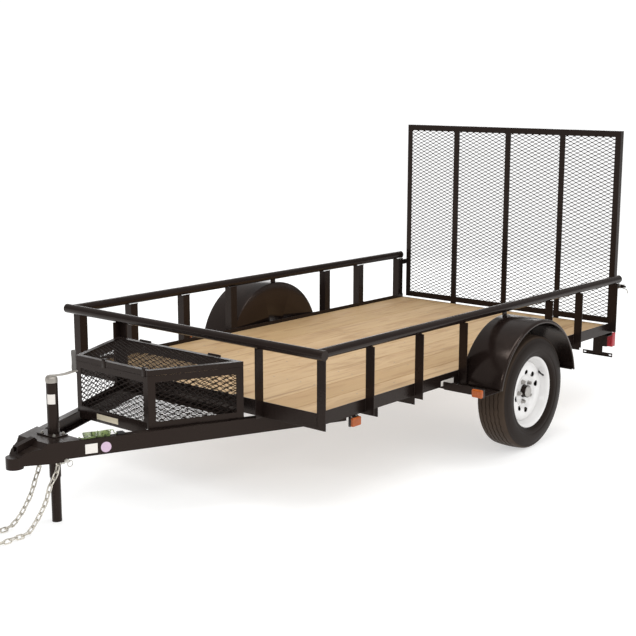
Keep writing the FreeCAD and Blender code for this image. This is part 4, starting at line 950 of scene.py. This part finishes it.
# The blank plate on the basket and the blank stickers on the tongue, jack and
# rail stand where the maker's own are. They carry no words, marks or numbers.
label_white = mottled("label_white", 120, (0.62, 0.58, 0.53), (0.72, 0.69, 0.65), 0.4, 0.15, 3,
                      Coat_Weight=0.3, Coat_Roughness=0.2)
label_mauve = mottled("label_mauve", 120, (0.47, 0.33, 0.45), (0.58, 0.44, 0.55), 0.4, 0.15, 3,
                      Coat_Weight=0.3, Coat_Roughness=0.2)
plate_cream = mottled("plate_cream", 60, (0.48, 0.42, 0.30), (0.60, 0.54, 0.42), 0.35, 0.2, 3, Metallic=0.2)
plate_bm = bmesh.new()
block(plate_bm, (skirt_front, -0.108, 0.3800), (skirt_front + 0.0012, 0.042, 0.4070), 0.0004)
for y in (-0.103, 0.037):
    rod_between(plate_bm, (skirt_front + 0.001, y, 0.3935), (skirt_front + 0.0024, y, 0.3935), 0.0028, 12,
                0.0018)
piece_from(plate_bm, "blank_plate", plate_cream, "zinc")
white_bm, mauve_bm = bmesh.new(), bmesh.new()
tongue_angle = math.atan(tongue_lean)
tongue_out = Vector((math.sin(tongue_angle), math.cos(tongue_angle), 0))
tongue_run = Vector((math.cos(tongue_angle), -math.sin(tongue_angle), 0))
on_tongue = Matrix((tongue_run, tongue_out, (0, 0, 1))).transposed().to_4x4()
square = Matrix.Translation(Vector((1.5437, 0.1727, 0.3525))) @ on_tongue
block(white_bm, (-0.0275, -0.0002, -0.0215), (0.0275, 0.0004, 0.0215), 0.0002, square, 1)
round_at = Vector((1.4835, 0.198, 0.351))
rod_between(mauve_bm, round_at - tongue_out * 0.0002, round_at + tongue_out * 0.0004, 0.0235, 40)
block(white_bm, (-0.292, 0.8278, 0.411), (-0.178, 0.8284, 0.439), 0.0002, None, 1)
round_strip = [(-0.022, 0.0254), (-0.022, 0.0258), (0.022, 0.0258), (0.022, 0.0254)]
turned(white_bm, round_strip, (jack_x, 0, 0.564), 10, "Z", math.radians(84), math.radians(-2))
piece_from(white_bm, "blank_labels", label_white, "zinc")
piece_from(mauve_bm, "blank_round_label", label_mauve, "zinc")


# Two welded safety chains of round wire hang from the bolt through the coupler
# and lie forward on the floor. Every link sits where the frame's link does.
chain_wire, link_half_straight, link_bend = 0.0035, 0.0104, 0.0095


def round_link():
    """One oval link at the origin, long along X and flat on XY."""
    link = bmesh.new()
    ring = bmesh.ops.create_circle(link, segments=8, radius=chain_wire)
    turn = Matrix.Translation((link_half_straight, link_bend, 0)) @ Matrix.Rotation(math.pi / 2, 4, "Y")
    bmesh.ops.transform(link, matrix=turn, verts=ring["verts"])
    loop = link.edges[:]
    first = list(loop)
    for centre, way in ((link_half_straight, 1), (-link_half_straight, -1)):
        verts = list({vert for edge in loop for vert in edge.verts})
        bent = bmesh.ops.spin(link, geom=verts + loop, cent=(centre, 0, 0), axis=(0, 0, 1),
                              angle=-math.pi, steps=8)
        loop = only("BMEdge", bent["geom_last"])
        if way > 0:
            grown = bmesh.ops.extrude_edge_only(link, edges=loop)["geom"]
            ends = only("BMVert", grown)
            bmesh.ops.translate(link, vec=(-2 * link_half_straight, 0, 0), verts=ends)
            loop = [edge for edge in only("BMEdge", grown) if all(vert in ends for vert in edge.verts)]
    bmesh.ops.bridge_loops(link, edges=loop + first)
    bmesh.ops.recalc_face_normals(link, faces=link.faces)
    return mesh_from(link, "link")


chain_zinc = mottled("chain_zinc", 90, (0.50, 0.465, 0.40), (0.80, 0.765, 0.69), 0.25, 0.2, 3, 0.6,
                     Metallic=0.85)
link_mesh = round_link()
for name in ("chain_left", "chain_right"):
    chain_bm = bmesh.new()
    for points in solids_of(name):
        centre = sum(points, Vector()) / len(points)
        spread = numpy.array([tuple(p - centre) for p in points])
        axes = numpy.linalg.eigh(spread.T @ spread)[1].T
        along, flat = Vector(axes[2]), Vector(axes[1])
        turn = Matrix((along, flat, along.cross(flat))).transposed().to_4x4()
        before = len(chain_bm.verts)
        chain_bm.from_mesh(link_mesh)
        chain_bm.verts.ensure_lookup_table()
        place = Matrix.Translation(centre) @ turn
        bmesh.ops.transform(chain_bm, matrix=place, verts=chain_bm.verts[before:])
    piece_from(chain_bm, "welded_" + name, chain_zinc, "zinc", name, smooth=60)
bpy.data.meshes.remove(link_mesh)


# The lamps' lead comes up through a grommet in the left tongue channel. Its
# slack is folded into a hank, pinched by a tie, and ends in a moulded plug.
lead_thick = 0.0035
hank_low, hank_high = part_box("harness_hank")
hank_at = Vector(((hank_low.x + hank_high.x) / 2, (hank_low.y + hank_high.y) / 2, 0))
hank_floor = tongue_top + lead_thick / 2 + 0.0004
hank_loops, loop_rise, fold, pinch, belly = 5, 0.0046, 0.0125, 0.001, 0.008


def on_hank(run, out, level):
    """A point by its distance forward and outward on the tongue from the hank's middle."""
    return hank_at + tongue_run * run + tongue_out * out + Vector((0, 0, level))


lead_exit, waist, corner = 0.084, 0.020, 0.414
route = [(lead_exit, 0, tongue_top), (lead_exit, 0, tongue_top + 0.008),
         (0.083, 0.004, hank_floor + 0.0075), (0.076, 0.010, hank_floor + 0.002),
         (0.062, 0.0125, hank_floor), (0.040, 0.0115, hank_floor), (waist, belly, hank_floor)]
for i in range(hank_loops):
    front_end = 0.0535 - 0.007 * chance.random()
    rear_end = 0.0475 - 0.006 * chance.random()
    wide = fold * (1 - 0.06 * chance.random())
    turns = [(0, pinch), (-waist, belly), (-rear_end - corner * fold, wide),
             (-rear_end - fold, corner * wide), (-rear_end - fold, -corner * wide),
             (-rear_end - corner * fold, -wide), (-waist, -belly), (0, -pinch), (waist, -belly),
             (front_end + corner * fold, -wide), (front_end + fold, -corner * wide),
             (front_end + fold, corner * wide), (front_end + corner * fold, wide), (waist, belly)]
    for k, (run, out) in enumerate(turns):
        route.append((run, out, hank_floor + loop_rise * (i + k / len(turns))))
hank_top = hank_floor + loop_rise * hank_loops
plug_level = 0.4013
route += [(0, pinch, hank_top), (-waist, 0.006, hank_top + 0.0006), (-0.056, 0.005, hank_top + 0.0008),
          (-0.071, 0.004, hank_top), (-0.073, 0.003, plug_level), (-0.088, 0.0021, plug_level)]
lead_curve = bpy.data.curves.new("harness_lead", "CURVE")
lead_curve.dimensions = "3D"
lead_curve.bevel_depth = lead_thick / 2
lead_curve.bevel_resolution = 3
lead_curve.use_fill_caps = True
lead_line = lead_curve.splines.new("NURBS")
lead_line.points.add(len(route) - 1)
for point, (run, out, level) in zip(lead_line.points, route):
    point.co = (*on_hank(run, out, level), 1)
lead_line.order_u = 3
lead_line.use_endpoint_u = True
lead_line.resolution_u = 6
lead_green = Finish("lead_green", Specular_IOR_Level=0.4)
wire_mark = lead_green.between(lead_green.noise(150, 2), 0.50, 0.56)
lead_green.feed(Base_Color=lead_green.blend(wire_mark, (0.22, 0.29, 0.10), (0.03, 0.042, 0.018)),
                Roughness=lead_green.noise(90) * 0.2 + 0.35)
lead_curve.materials.append(lead_green.material)
lead = object_from("harness_lead", lead_curve)
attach(lead, "trailer")
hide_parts("harness_hank")

tie_bm = bmesh.new()
hoop(tie_bm, (0, 0, 0), 1, 0.07, "X", 32)
tie_shape = Matrix.Diagonal((0.014, 0.0058, (hank_top - tongue_top) / 2 + 0.0012, 1))
tie_place = Matrix.Translation(on_hank(0, 0, (hank_top + tongue_top) / 2 + 0.0016)) @ on_tongue @ tie_shape
bmesh.ops.transform(tie_bm, matrix=tie_place, verts=tie_bm.verts)
tie = piece_from(tie_bm, "hank_tie", plug_black, "black_plastic", smooth=60)
plug_low, plug_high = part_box("harness_plug")
plug_place = Matrix.Translation((plug_low + plug_high) / 2) @ on_tongue
socket_bm = bmesh.new()
block(socket_bm, (-0.013, -0.012, -0.0055), (0.017, 0.012, 0.0055), 0.0015, plug_place, 3)
for run in (-0.004, 0.002, 0.008):
    block(socket_bm, (run, -0.013, -0.006), (run + 0.003, 0.013, 0.006), 0.0008, plug_place)
for out in (-0.009, -0.003, 0.003, 0.009):
    start, end = plug_place @ Vector((-0.012, out, 0)), plug_place @ Vector((-0.017, out, 0))
    rod_between(socket_bm, start, end, 0.0026, 16)
plug = piece_from(socket_bm, "lead_plug", plug_black, "black_plastic", "harness_plug")
grommet_bm = bmesh.new()
hoop(grommet_bm, on_hank(lead_exit, 0, tongue_top + 0.0006), 0.0042, 0.0018, "Z", 20)
piece_from(grommet_bm, "lead_grommet", plug_black, "black_plastic", smooth=60)
on_hank(0.084, 0, tongue_top)
